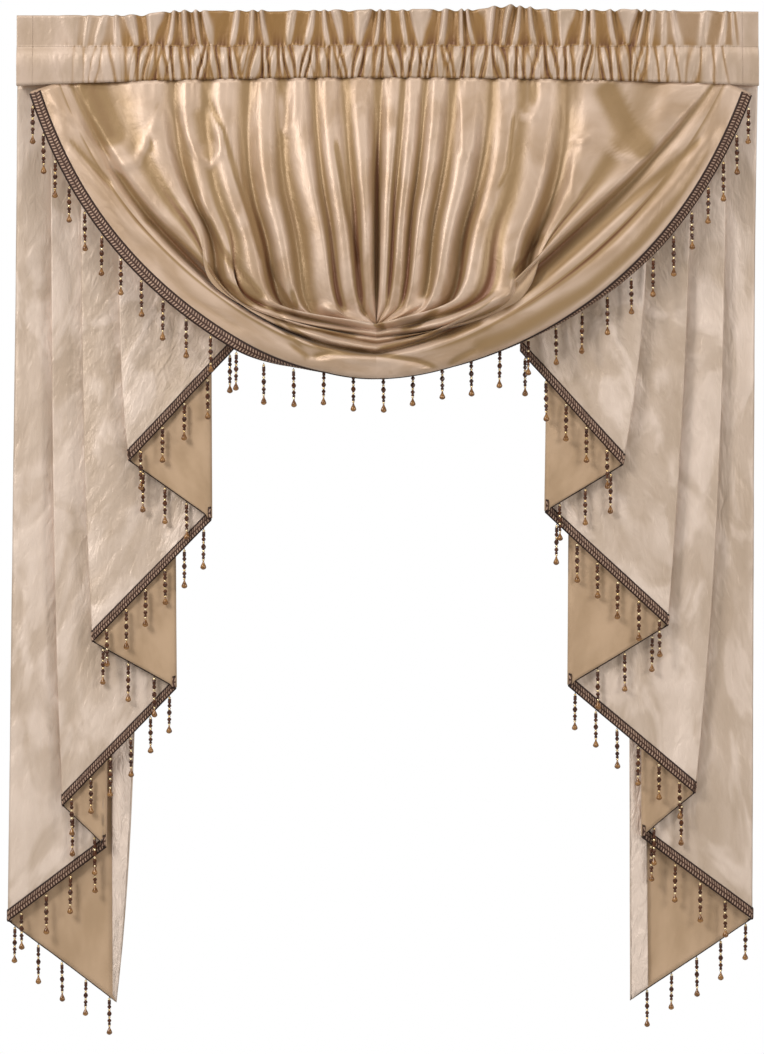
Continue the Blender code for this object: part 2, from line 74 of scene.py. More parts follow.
# How much painted golden shade the smooth parts of the ruffle take, left to right
RUFFLE_PAINTED_SHADE = ((-0.597, 0.05), (-0.50, 0.10), (-0.45, 0.25), (0.44, 0.25),
               (0.47, 0.34), (0.562, 0.38), (0.572, 0.02), (0.597, 0.02))
# Pocket's depth from its lower stitch line up to the upper one: share of the height, front, back
POCKET_SECTION = ((0.0, 0.0105, 0.0035), (0.45, 0.0122, 0.0122), (0.775, 0.0098, 0.0098), (1.0, 0.0020, 0.0020))
RUFFLE = 0.0012             # half the ruffle's thickness
RUFFLE_SWING = 0.0074       # how far the gathers swing the ruffle to and fro
PUFF = 0.0062               # how far the pocket puffs out
# Fine pinches along a stitch line: height, width, and how soon they die out
PINCH, PINCH_PITCH, PINCH_REACH = 0.0011, 0.0062, 0.0070

# Fold lines of the swag, from the hem's crest to the tack in the middle. Millimetres:
# x at the heading, depth at the heading, then x, z and depth of the middle point, then in hundredths
# of its length how far the fold falls straight before it turns in to the tack, and where it turns
FOLDS_LEFT = (
    (-537, -9, -347, -337, -44, 0, 80),
    (-526, -8, -333, -324, -39, 1, 80),
    (-511, -6, -315, -321, -24, 2, 78),
    (-495, -9, -302, -306, -46, 8, 74),
    (-444, -4, -291, -296, -45, 11, 72),
    (-379, -11, -280, -291, -50, 17, 68),
    (-347, -5, -267, -298, -30, 18, 72),
    (-318, -11, -249, -304, -54, 16, 76),
    (-292, -5, -233, -300, -47, 20, 70),
    (-262, -11, -212, -294, -59, 19, 79),
    (-222, -5, -188, -293, -36, 22, 85),
    (-193, -11, -167, -294, -60, 19, 83),
    (-168, -5, -141, -292, -44, 25, 88),
    (-140, -11, -106, -287, -62, 20, 85),
    (-120, -5, -89, -282, -46, 23, 90),
    (-99, -11, -71, -277, -62, 17, 87),
    (-72, -5, -50, -265, -43, 20, 90),
    (-46, -11, -33, -248, -60, 14, 90),
    (-14, -4, -17, -222, -34, 10, 90),
)
FOLDS_RIGHT = (
    (549, -9, 333, -351, -44, 0, 80),
    (539, -8, 313, -318, -40, 1, 80),
    (526, -6, 288, -287, -26, 2, 78),
    (511, -9, 271, -279, -48, 5, 76),
    (431, -4, 249, -292, -44, 9, 78),
    (342, -10, 233, -308, -50, 14, 70),
    (291, -5, 215, -320, -28, 18, 74),
    (249, -11, 189, -305, -62, 17, 71),
    (217, -6, 158, -291, -50, 21, 76),
    (195, -10, 138, -287, -58, 17, 78),
    (166, -5, 115, -284, -38, 23, 83),
    (132, -11, 93, -280, -60, 18, 86),
    (103, -5, 70, -274, -44, 24, 84),
    (80, -11, 51, -267, -60, 21, 89),
    (61, -5, 36, -259, -42, 22, 86),
    (44, -11, 22, -250, -58, 18, 90),
    (28, -6, 9, -242, -44, 19, 88),
    (9, -11, -3, -233, -54, 13, 90),
    (-14, -4, -17, -222, -34, 10, 90),
)
CENTRE_X = -18
# The fold lines where they meet on the centre line: z, depth
CENTRE_STACK = (
    (-498, -82), (-480, -88), (-471, -66), (-465, -80), (-456, -60), (-451, -67), (-446, -56),
    (-441, -63), (-436, -50), (-425, -66), (-433, -44), (-431, -47), (-431, -40), (-430, -42),
    (-430, -38), (-429, -39), (-429, -36), (-428, -37), (-428, -33),
)
TURN_START = 0.40           # place on a fold line where it may leave its parabola
BAND = 0.040                # cloth between the hem's crest and the hem's edge
# How far the band is rolled under along the hem, from the heading to the middle
ROLL_LEFT = ((0.0, 0.02), (0.70, 0.03), (0.90, 0.9), (1.0, 1.0))
ROLL_RIGHT = ((0.0, 0.12), (0.35, 0.30), (0.62, 0.62), (0.85, 1.0), (1.0, 1.0))
ROLL_ANGLE = 2.9            # turn of the whole roll
UPPER_ROWS, LOWER_ROWS, LOWER_START = 62, 56, 0.66     # rows of the mesh: closer together near the tack
FOLD_STEPS, BAND_STEPS = 8, 10
ROUNDNESS = 1.45            # broad crests and narrow valleys where it is over 1
# Puckers under the heading: height, width, and the share of a fold line over which they die out
PUCKER, PUCKER_PITCH, PUCKER_REACH = 0.0013, 0.0150, 0.040

CREASE_END = 30             # millimetres over which a crease dies out
# Creases of the swag, in millimetres: width, depth (minus is a ridge), painted shade in the crease (minus is a painted
# highlight on the ridge), then x, z along it
SWAG_CREASES = (
    (32, 5.0, 0.70, ((-486, -10), (-470, -58), (-442, -124), (-434, -150))),
    (9, -3.0, -0.3, ((-549, -80), (-410, -269), (-264, -384), (-165, -435))),
    (8, 2.5, 0.27, ((-520, -160), (-481, -230), (-379, -332), (-299, -396), (-220, -442))),
    (7, -3.5, -0.5, ((-556, -50), (-501, -99), (-454, -158), (-430, -172), (-402, -162), (-384, -123), (-367, -60))),
    (6, 4.5, 0.75, ((-525, -111), (-481, -162), (-434, -210))),
    (9, 2.5, 0.80, ((-402, -238), (-347, -285), (-299, -328), (-244, -372), (-205, -408))),
    (5, 3.0, 0.65, ((-363, -54), (-384, -107), (-379, -143), (-363, -158))),
    (9, 3.0, 0.45, ((-347, -67), (-323, -147), (-299, -238))),
    (8, 3.0, 0.75, ((-299, -238), (-264, -309), (-220, -360), (-189, -396))),
    (17, 5.0, 0.62, ((-303, -60), (-284, -155))),
    (5, -3.0, -0.5, ((-323, -107), (-303, -158), (-284, -170), (-266, -147), (-272, -95))),
    (5, 3.0, 0.65, ((-299, -40), (-264, -111), (-244, -182), (-220, -253), (-201, -317), (-169, -372), (-141, -416))),
    (5, -2.5, -0.4, ((-173, -40), (-169, -108), (-161, -115), (-154, -108), (-145, -40))),
    (5, 3.0, 0.70, ((-86, -115), (-66, -238), (-42, -344))),
    (5, 1.5, 0.45, ((-11, -60), (-19, -238), (-21, -396))),
    (5, 3.0, 0.70, ((-191, -392), (-153, -431), (-106, -463), (-15, -471))),
    (5, 3.5, 0.55, ((-201, -400), (-135, -464), (-122, -472))),
    (8, -9.0, -0.7, ((-118, -392), (-54, -419), (-6, -444))),
    (6, 6.0, 0.75, ((-160, -424), (-100, -438), (-36, -446))),
    (5, 4.0, 0.85, ((-30, -427), (1, -427))),
    (5, 3.0, 0.65, ((-157, -360), (-141, -412))),
    (5, 3.0, 0.65, ((-46, -392), (-31, -416))),
    (7, -8.0, -0.6, ((-210, -384), (-150, -422), (-80, -458))),
    (5, -2.5, -0.4, ((118, -40), (122, -148), (130, -155), (136, -148), (142, -95))),
    (5, 3.0, 0.60, ((205, -71), (193, -174), (170, -222))),
    (13, 4.0, 0.50, ((233, -10), (233, -90))),
    (5, -2.5, -0.4, ((209, -71), (217, -91), (237, -89), (256, -40))),
    (5, -3.5, -0.5, ((288, -119), (312, -131), (328, -123), (340, -107))),
    (7, -3.0, -0.4, ((340, -123), (367, -151), (407, -166))),
    (5, 3.0, 0.55, ((288, -56), (286, -119))),
    (6, -2.5, -0.4, ((296, -135), (297, -214), (300, -238))),
    (25, 4.5, 0.64, ((340, -20), (352, -44), (383, -107), (430, -165))),
    (18, -5.0, -0.4, ((460, -25), (440, -110))),
    (9, 3.0, 0.40, ((498, -147), (407, -238), (328, -317), (225, -388), (146, -427))),
    (9, -3.0, -0.3, ((535, -100), (455, -205), (367, -301), (249, -380), (150, -440))),
    (16, 2.0, 0.50, ((530, -130), (482, -208), (402, -297), (322, -369), (200, -440), (120, -470))),
    (8, 4.5, 0.60, ((518, -115), (367, -245), (249, -352), (170, -412))),
    (7, 4.0, 0.85, ((257, -269), (209, -332), (189, -364))),
    (8, -9.0, -0.7, ((222, -368), (150, -398), (90, -424), (50, -432))),
    (6, 6.0, 0.75, ((200, -384), (142, -414), (94, -436), (-4, -449))),
    (5, 4.0, 0.65, ((166, -416), (102, -443), (-4, -463), (-28, -469))),
    (8, -9.0, -0.7, ((76, -378), (30, -410), (-8, -438))),
    (6, 6.0, 0.75, ((92, -394), (50, -424), (8, -440))),
    (6, 4.0, 0.60, ((84, -500), (112, -480), (160, -456))),
    (6, 4.5, 0.65, ((-134, -479), (-93, -472), (-18, -475), (46, -484), (92, -500))),
    (8, -4.0, -0.5, ((-120, -486), (-60, -483), (-18, -486), (40, -494), (80, -506))),
    (6, 3.5, 0.50, ((-170, -446), (-128, -477), (-144, -494))),
    (4, 2.0, 0.40, ((5, -478), (5, -514))),
)

# Edges of the tails' layers, front to back. Metres: x at the heading, x at the hem, z at the hem, bend of the fold
TAIL_LEFT = (
    (-0.250, -0.238, -0.451, 1.0),
    (-0.433, -0.416, -0.641, 5.0),
    (-0.286, -0.283, -0.735, 1.0),
    (-0.495, -0.476, -0.933, 3.0),
    (-0.347, -0.341, -1.008, 1.0),
    (-0.544, -0.526, -1.199, 3.0),
    (-0.449, -0.455, -1.266, 1.0),
    (-0.597, -0.616, -1.387, 0.8),
    (-0.405, -0.440, -1.519, 5.0),
    (-0.453, -0.446, -1.508, 1.0),
)
TAIL_RIGHT = (
    (0.226, 0.213, -0.464, 1.0),
    (0.421, 0.378, -0.648, 3.0),
    (0.263, 0.253, -0.723, 1.0),
    (0.491, 0.452, -0.907, 1.9),
    (0.297, 0.291, -1.004, 1.0),
    (0.547, 0.497, -1.178, 2.5),
    (0.416, 0.411, -1.250, 1.0),
    (0.597, 0.592, -1.384, 1.0),
    (0.390, 0.394, -1.516, 1.0),
    (0.412, 0.423, -1.495, 1.0),
)
# Depth of each layer at the heading and at the hem
LAYER_DEPTHS = (
    (0.0010, 0.0010),
    (0.0030, 0.0060),
    (0.0050, 0.0180),
    (0.0070, 0.0230),
    (0.0090, 0.0350),
    (0.0110, 0.0400),
    (0.0130, 0.0520),
    (0.0190, 0.0620),
    (0.0160, 0.0575),
)
SPREAD_HEIGHT = 0.42        # below the heading, where the layers hang parallel
RIPPLE, RIPPLE_TURN = 0.0020, 46.0
TAIL_ROWS, LAYER_STEPS, TURN_STEPS = 170, 12, 7
# Painted highlight on the last layer, the turned side hem: under zero the satin is painted pale
SIDE_HEM_PAINTED_LIGHT = -0.7        # the last layer is pale and crumpled
TAIL_CREASES = (
    (9, 2.0, 0, ((-379, -400), (-378, -470), (-384, -570))),
    (8, 1.6, 0, ((-330, -330), (-334, -500), (-350, -620))),
    (7, -1.5, 0, ((-455, -250), (-452, -600), (-448, -900))),
    (10, 1.8, 0, ((-520, -150), (-516, -700), (-510, -1150))),
    (9, -1.8, 0, ((-570, -120), (-566, -700), (-575, -1250))),
    (8, 1.6, 0, ((330, -330), (326, -480), (318, -560))),
    (9, -1.8, 0, ((440, -180), (436, -500), (428, -800))),
    (10, 1.8, 0, ((520, -120), (512, -600), (500, -1100))),
    (9, -1.6, 0, ((565, -120), (566, -700), (570, -1250))),
)

# Braid: across its width from the hem upwards
TAIL_BRAID, SWAG_BRAID = 0.0185, 0.0170
BRAID_BELOW = 0.0022        # past the hem
BRAID_THICK = 0.0010
BRAID_STEP = 0.0014
BRAID_ACROSS = 10
BRAID_TURNS = 9             # steps round a fold
PLAIT, PLAIT_HEIGHT = 0.0050, 0.0005        # length and height of a link
CLEAR = 0.0004              # between the braid and the cloth

# Bead strands on each layer's hem: number, share of the first, share of the last
STRANDS_LEFT = (
    (5, 0.09, 0.90),
    (3, 0.17, 0.69),
    (6, 0.07, 0.88),
    (3, 0.12, 0.73),
    (6, 0.06, 0.92),
    (2, 0.22, 0.72),
    (4, 0.12, 0.86),
    (5, 0.06, 0.93),
)
STRANDS_RIGHT = (
    (5, 0.05, 0.85),
    (3, 0.15, 0.80),
    (6, 0.10, 0.93),
    (3, 0.15, 0.70),
    (6, 0.06, 0.88),
    (2, 0.25, 0.75),
    (4, 0.09, 0.75),
    (5, 0.05, 0.86),
)
SWAG_STRANDS = 33
SWAG_STRAND_ENDS = (0.012, 0.988)
STRAND_SIDES = 8
STRAND_LENGTH = 0.0635
STRAND_OFF = 0.0030         # middle of a strand in front of the braid's back
GOLD, GLASS, AMBER = 0, 1, 2
# Beads from the braid down: kind, length and radius in millimetres, finish
BEADS = (
    ("thread", 2.0, 0.7, GLASS),
    ("round", 3.4, 2.3, GOLD),
    ("tube", 8.0, 2.7, GLASS),
    ("facet", 7.0, 3.2, GLASS),
    ("round", 3.4, 2.4, GOLD),
    ("facet", 9.5, 3.8, GLASS),
    ("round", 3.2, 2.3, GOLD),
    ("facet", 7.0, 3.3, GLASS),
    ("tube", 3.6, 2.4, GLASS),
    ("round", 2.8, 2.2, GOLD),
    ("drop", 13.6, 4.9, AMBER),
)
# Outline of each kind: share of the length, share of the radius
OUTLINES = {
    "thread": ((0.0, 1.0), (1.0, 1.0)),
    "round": ((0.02, 0.45), (0.28, 0.95), (0.72, 0.95), (0.98, 0.45)),
    "tube": ((0.01, 0.75), (0.04, 1.0), (0.96, 1.0), (0.99, 0.75)),
    "facet": ((0.01, 0.40), (0.38, 1.0), (0.62, 1.0), (0.99, 0.40)),
    "drop": ((0.01, 0.22), (0.22, 0.36), (0.50, 0.78), (0.72, 1.0), (0.88, 0.84), (1.0, 0.30)),
}


# ---- Materials ----
class Term:
    """A number inside a material, worked out with plain arithmetic."""

    def __init__(self, finish, socket):
        self.finish = finish
        self.socket = socket

    def _of(self, operation, *terms):
        return self.finish.math(operation, *terms)

    def __add__(self, other):
        return self._of("ADD", self, other)

    def __sub__(self, other):
        return self._of("SUBTRACT", self, other)

    def __rsub__(self, other):
        return self._of("SUBTRACT", other, self)

    def __mul__(self, other):
        return self._of("MULTIPLY", self, other)

    def __truediv__(self, other):
        return self._of("DIVIDE", self, other)

    def __rtruediv__(self, other):
        return self._of("DIVIDE", other, self)

    def __pow__(self, other):
        return self._of("POWER", self, other)

    def __rpow__(self, other):
        return self._of("POWER", other, self)

    __radd__ = __add__
    __rmul__ = __mul__

    def sin(self):
        return self._of("SINE", self)

    def size(self):
        return self._of("ABSOLUTE", self)

    def between(self, low, high):
        """Goes smoothly from 0 at low to 1 at high."""
        node = self.finish.node("ShaderNodeMapRange", {"interpolation_type": "SMOOTHSTEP"},
                                {"Value": self, "From Min": low, "From Max": high})
        return Term(self.finish, node.outputs["Result"])


class Finish:
    """A material and short ways to add nodes to it."""

    def __init__(self, name):
        self.material = bpy.data.materials.new(name)
        self.material.use_nodes = True
        self.tree = self.material.node_tree
        self.shader = self.tree.nodes["Principled BSDF"]

    def node(self, kind, settings=None, inputs=None):
        """Adds a node, makes its settings, then gives its sockets values or links."""
        node = self.tree.nodes.new(kind)
        for key, value in (settings or {}).items():
            setattr(node, key, value)
        for key, value in (inputs or {}).items():
            self.feed(node.inputs[key], value)
        return node

    def feed(self, socket, value):
        if isinstance(value, Term):
            self.tree.links.new(value.socket, socket)
        elif isinstance(value, bpy.types.NodeSocket):
            self.tree.links.new(value, socket)
        else:
            socket.default_value = value

    def math(self, operation, *values):
        node = self.node("ShaderNodeMath", {"operation": operation}, dict(enumerate(values)))
        return Term(self, node.outputs["Value"])

    def uv(self):
        """The piece's own cloth coordinates in metres: the vector, then u and v."""
        vector = self.node("ShaderNodeUVMap", {"uv_map": "cloth"}).outputs["UV"]
        parts = self.node("ShaderNodeSeparateXYZ", None, {"Vector": vector})
        return vector, Term(self, parts.outputs["X"]), Term(self, parts.outputs["Y"])

    def attribute(self, name):
        return Term(self, self.node("ShaderNodeAttribute", {"attribute_name": name}).outputs["Fac"])

    def noise(self, vector, stretch, scale, detail=3.0, roughness=0.5, distortion=0.0):
        """Uneven value about 0.5, stretched along u and v by the shares given."""
        place = self.node("ShaderNodeVectorMath", {"operation": "MULTIPLY"}, {0: vector, 1: (*stretch, 1.0)})
        node = self.node("ShaderNodeTexNoise", None, {
            "Vector": place.outputs["Vector"], "Scale": scale, "Detail": detail,
            "Roughness": roughness, "Distortion": distortion})
        return Term(self, node.outputs["Fac"])

    def mix(self, share, first, second):
        """Goes from the first colour to the second with the share. Inputs 6 and 7 and output 2 are the colour ones."""
        first, second = ((*tone, 1.0) if isinstance(tone, tuple) else tone for tone in (first, second))
        node = self.node("ShaderNodeMix", {"data_type": "RGBA"}, {"Factor": share, 6: first, 7: second})
        return node.outputs[2]

    def bump(self, height, distance, strength=1.0):
        node = self.node("ShaderNodeBump", None, {"Height": height, "Distance": distance, "Strength": strength})
        self.feed(self.shader.inputs["Normal"], node.outputs["Normal"])

    def set(self, **values):
        for key, value in values.items():
            self.feed(self.shader.inputs[key.replace("_", " ")], value)


def thread_marks(along, across, places):
    """Value of a line of stitches at each of the places across the cloth: short marks, 1 on the thread."""
    dashes = (along * (2.0 * math.pi / STITCH)).sin().between(-0.5, 0.3)
    lines = [1.0 - (across - place).size().between(0.0003, 0.0009) for place in places]
    return sum(lines[1:], lines[0]) * dashes


def satin(name, pale, mid, painted_shade_golden, shade_and_stitch_brown, metallic, roughness, crumple, cloudy, stitched=False):
    """Face of the satin: painted cloudy sheen, small crumples, a fine twill, and painted shade in the hollows, golden,
    then brown.

    Where the shading attribute is under zero the satin has a painted highlight, pale, and is more crumpled.
    """
    f = Finish(name)
    vector, u, v = f.uv()
    painted_shading = f.attribute("painted_shading")
    clouds = f.noise(vector, (1.0, 0.45), 22.0, 3.0, 0.5, 0.5)
    patches = f.noise(vector, (1.0, 0.6), 9.0, 3.0, 0.55, 1.4)
    # Painted sheen: cloudy patches and faint lengthwise streaks lift the cloth's mid tone towards pale
    painted_sheen = clouds.between(0.30, 0.70) * (1.0 - cloudy) + patches.between(0.45, 0.62) * cloudy
    panels = f.noise(vector, (1.0, 0.06), 7.0, 1.0, 0.4)
    painted_sheen = painted_sheen * (1.0 - 0.35 * cloudy) + panels.between(0.35, 0.65) * (0.35 * cloudy)
    # Painted highlight: where the shading attribute is under zero the satin is painted pale
    painted_highlight = (0.0 - painted_shading).between(0.1, 0.6)
    tone = f.mix(painted_highlight, f.mix(painted_sheen, mid, pale), pale)
    # Painted shade in the hollows: golden, and dark brown in the deepest
    colour_with_painted_shade = f.mix(painted_shading.between(0.58, 1.0), f.mix(painted_shading.between(0.08, 0.52), tone, painted_shade_golden), shade_and_stitch_brown)
    grain = f.noise(vector, (1.0, 0.2), 900.0, 2.0, 0.6)
    twill = ((u * 5200.0 + v * 5200.0).sin() + (u * 2100.0).sin() * 0.4) * 0.012
    wrinkles = f.noise(vector, (1.0, 0.55), 58.0, 3.0, 0.5, 1.2)
    relief = clouds * 0.9 + patches * (cloudy * 2.0) + wrinkles * (painted_highlight * 1.5 + 0.45) + twill + grain * 0.02
    if stitched:
        # Stitch lines, darkened a little towards the same dark brown
        threads = thread_marks(u, v, (0.0,)) + thread_marks(v, f.attribute("from_end"), (SIDE_HEM,))
        colour_with_painted_shade = f.mix(threads * 0.3, colour_with_painted_shade, shade_and_stitch_brown)
        relief = relief - threads * 0.25
    f.bump(relief, crumple)
    f.set(Base_Color=colour_with_painted_shade, Roughness=clouds * 0.18 + (roughness - 0.09), Metallic=metallic)
    f.set(Sheen_Weight=0.15, Sheen_Roughness=0.4, Specular_IOR_Level=0.5)
    return f.material


def satin_back(name, light, dark):
    """Reverse of the satin: matt, with the weave's fine ribs."""
    f = Finish(name)
    vector, u, v = f.uv()
    clouds = f.noise(vector, (1.0, 0.6), 18.0, 3.0, 0.5)
    ribs = ((u * 4800.0).sin() * (v * 4800.0).sin()) * 0.03
    f.bump(clouds * 0.5 + ribs, 0.0016)
    f.set(Base_Color=f.mix(clouds.between(0.3, 0.7), dark, light), Roughness=0.62)
    f.set(Sheen_Weight=0.2, Specular_IOR_Level=0.3)
    return f.material


def braid_finish(name):
    """Plaited braid: dark edges and a dark middle line, and a row of slanting pale links on either side of it."""
    f = Finish(name)
    vector, u, v = f.uv()
    middle = (v - 0.5).size() * 2.0
    stripes = (u * (2.0 * math.pi / PLAIT) + middle * 3.6).sin()
    threads = (u * (6.0 * math.pi / PLAIT) - middle * 9.0).sin()
    fleck = f.noise(vector, (1.0, 0.004), 420.0, 2.0, 0.6)
    inside = 1.0 - middle.between(0.66, 0.84)
    rows = (middle * (math.pi / 0.80)).sin().between(0.30, 0.75) * inside
    light = stripes.between(-0.15, 0.60) * rows * (fleck.between(0.36, 0.56) * 0.50 + 0.50)
    ground = f.mix(inside, (0.026, 0.010, 0.006), (0.070, 0.030, 0.017))
    tone = f.mix(light, ground, (0.56, 0.37, 0.265))
    f.bump(stripes * 0.5 * inside + threads * 0.2, 0.0006)
    f.set(Base_Color=tone, Roughness=0.52, Specular_IOR_Level=0.35)
    return f.material


def bead_finish(name, tone, second, roughness, metallic, coat):
    """Bead glass or metal with a slight change of tone along the strand."""
    f = Finish(name)
    vector, _, _ = f.uv()
    change = f.noise(vector, (1.0, 1.0), 160.0, 2.0)
    f.bump(change * 0.4, 0.0002)
    f.set(Base_Color=f.mix(change.between(0.35, 0.65), tone, second), Roughness=change * 0.1 + roughness)
    f.set(Metallic=metallic, Coat_Weight=coat, Coat_Roughness=0.08, Specular_IOR_Level=0.35)
    return f.material


# ---- Meshes ----
def whole_numbers(rows, columns):
    """A grid that counts up row by row."""
    return np.arange(rows * columns).reshape(rows, columns)


def quads(numbers):
    """Corner numbers of the faces between four neighbours each of a grid of numbers."""
    around = (numbers[:-1, :-1], numbers[:-1, 1:], numbers[1:, 1:], numbers[1:, :-1])
    return np.stack(around, axis=-1).reshape(-1, 4)


def add_object(name, mesh, finishes):
    """Puts a mesh with its finishes into the scene."""
    for finish in finishes:
        mesh.materials.append(finish)
    thing = bpy.data.objects.new(name, mesh)
    bpy.context.scene.collection.objects.link(thing)
    return thing


def add_uv(mesh, uv):
    mesh.uv_layers.new(name="cloth").data.foreach_set("uv", uv.astype(np.float32).ravel())


def sheet_object(name, points, uv, finishes, fields, numbers=None, flip=False, thickness=0.0):
    """A grid of points as one smooth mesh with cloth coordinates. A thickness closes it, reverse on its far side."""
    grid = whole_numbers(*points.shape[:2])
    numbers = grid if numbers is None else numbers
    corners, places = quads(numbers), quads(grid)
    if flip:
        corners, places = corners[:, ::-1], places[:, ::-1]
    used = int(numbers.max()) + 1
    mesh = bpy.data.meshes.new(name)
    mesh.from_pydata(points.reshape(-1, 3)[:used].tolist(), [], corners.tolist())
    add_uv(mesh, uv.reshape(-1, 2)[places.ravel()])
    for field, values in fields.items():
        mesh.attributes.new(field, "FLOAT", "POINT").data.foreach_set("value", values.ravel()[:used].astype(np.float32))
    mesh.shade_smooth()
    thing = add_object(name, mesh, finishes)
    if thickness > 0.0:
        wall = thing.modifiers.new("thickness", "SOLIDIFY")
        wall.thickness = thickness
        wall.offset = 0.0
        wall.material_offset = len(finishes) - 1
    return thing


def arc(points, axis):
    """Length run along an axis of a grid, in metres."""
    steps = np.linalg.norm(np.diff(points, axis=axis), axis=-1)
    start = np.zeros_like(np.take(steps, [0], axis=axis))
    return np.concatenate([start, np.cumsum(steps, axis=axis)], axis=axis)


def cloth_uv(points):
    """Cloth coordinates of a grid: mean run along the columns and along the rows."""
    u = np.broadcast_to(arc(points, 1).mean(axis=0), points.shape[:2])
    v = np.broadcast_to(arc(points, 0).mean(axis=1)[:, None], points.shape[:2])
    return np.stack([u, v], axis=-1)


def smooth(value, low, high):
    """Goes smoothly from 0 at low to 1 at high."""
    share = np.clip((value - low) / (high - low), 0.0, 1.0)
    return share * share * (3.0 - 2.0 * share)


def rumple(a, b, bump, seed):
    """Uneven field from about -1 to 1: the sum of nine sine waves of mixed direction, about one hill for each bump."""
    dice = np.random.default_rng(seed)
    total = 0.0
    for _ in range(9):
        turn, phase = dice.uniform(0, 2 * math.pi), dice.uniform(0, 2 * math.pi)
        pitch = bump * dice.uniform(1.3, 3.2)
        total = total + np.sin((a * math.cos(turn) + b * math.sin(turn)) * 2 * math.pi / pitch + phase)
    return total / 4.0


def crease_field(x, z, creases):
    """Depth and painted shading of the creases at x, z: a bell curve across each line, dying out towards its ends.

    Depths add up. Of the painted shades the strongest counts, and the painted highlights of ridges lighten it.
    """
    total, painted_shading, light = np.zeros_like(x), np.zeros_like(x), np.zeros_like(x)
    for width, depth, tone, line in creases:
        path = np.array(line, dtype=float) * MM
        runs = np.concatenate([[0.0], np.cumsum(np.hypot(*np.diff(path, axis=0).T))])
        nearest, place = np.full_like(x, 9.0), np.zeros_like(x)
        for start, end, first, last in zip(path[:-1], path[1:], runs[:-1], runs[1:]):
            along = end - start
            share = ((x - start[0]) * along[0] + (z - start[1]) * along[1]) / (along @ along)
            share = np.clip(share, 0.0, 1.0)
            gap = np.hypot(x - start[0] - share * along[0], z - start[1] - share * along[1])
            place = np.where(gap < nearest, first + share * (last - first), place)
            nearest = np.minimum(nearest, gap)
        reach = min(CREASE_END * MM, 0.4 * runs[-1])
        bell = np.exp(-(nearest / (width * MM)) ** 2) * smooth(np.minimum(place, runs[-1] - place), 0.0, reach)
        total = total + depth * MM * bell
        # Tone: painted shade in a hollow; under zero, a painted highlight on a ridge, gathered in light
        painted_shading = np.maximum(painted_shading, tone * bell)
        light = np.minimum(light, tone * bell)
    return total, painted_shading + light


def inside_out(points, faces):
    """Whether the closed shape of these four-cornered faces holds a volume under zero."""
    p = points.reshape(-1, 3)
    a, b, c, d = (p[faces[:, k]] for k in range(4))
    return (np.cross(a, b) * c).sum() + (np.cross(a, c) * d).sum() <= 0


def square_to(points):
    """Unit directions square to a grid of points."""
    normal = np.cross(np.gradient(points, axis=1), np.gradient(points, axis=0))
    return normal / np.maximum(np.linalg.norm(normal, axis=-1), 1e-9)[..., None]


# ---- Heading ----
def lower_edge(x):
    """Height of the heading's lower stitch line: a shallow arch."""
    return SEAM_MIDDLE + (SEAM_ENDS - SEAM_MIDDLE) * (x / HEAD_RIGHT) ** 2


def gather_strength(x):
    return np.interp(x, *np.transpose(GATHER_STRENGTH))


def uneven_turns(x, pitch, seed):
    """Count of gathers along x where each has its own width, and a height for each."""
    dice = np.random.default_rng(seed)
    widths = pitch * dice.uniform(0.55, 1.45, 220)
    marks = HEAD_LEFT - 0.05 + np.concatenate([[0.0], np.cumsum(widths)])
    turns = np.interp(x, marks, np.arange(len(marks)))
    height = np.interp(turns, np.arange(len(marks)), dice.uniform(0.45, 1.15, len(marks)))
    return turns, height


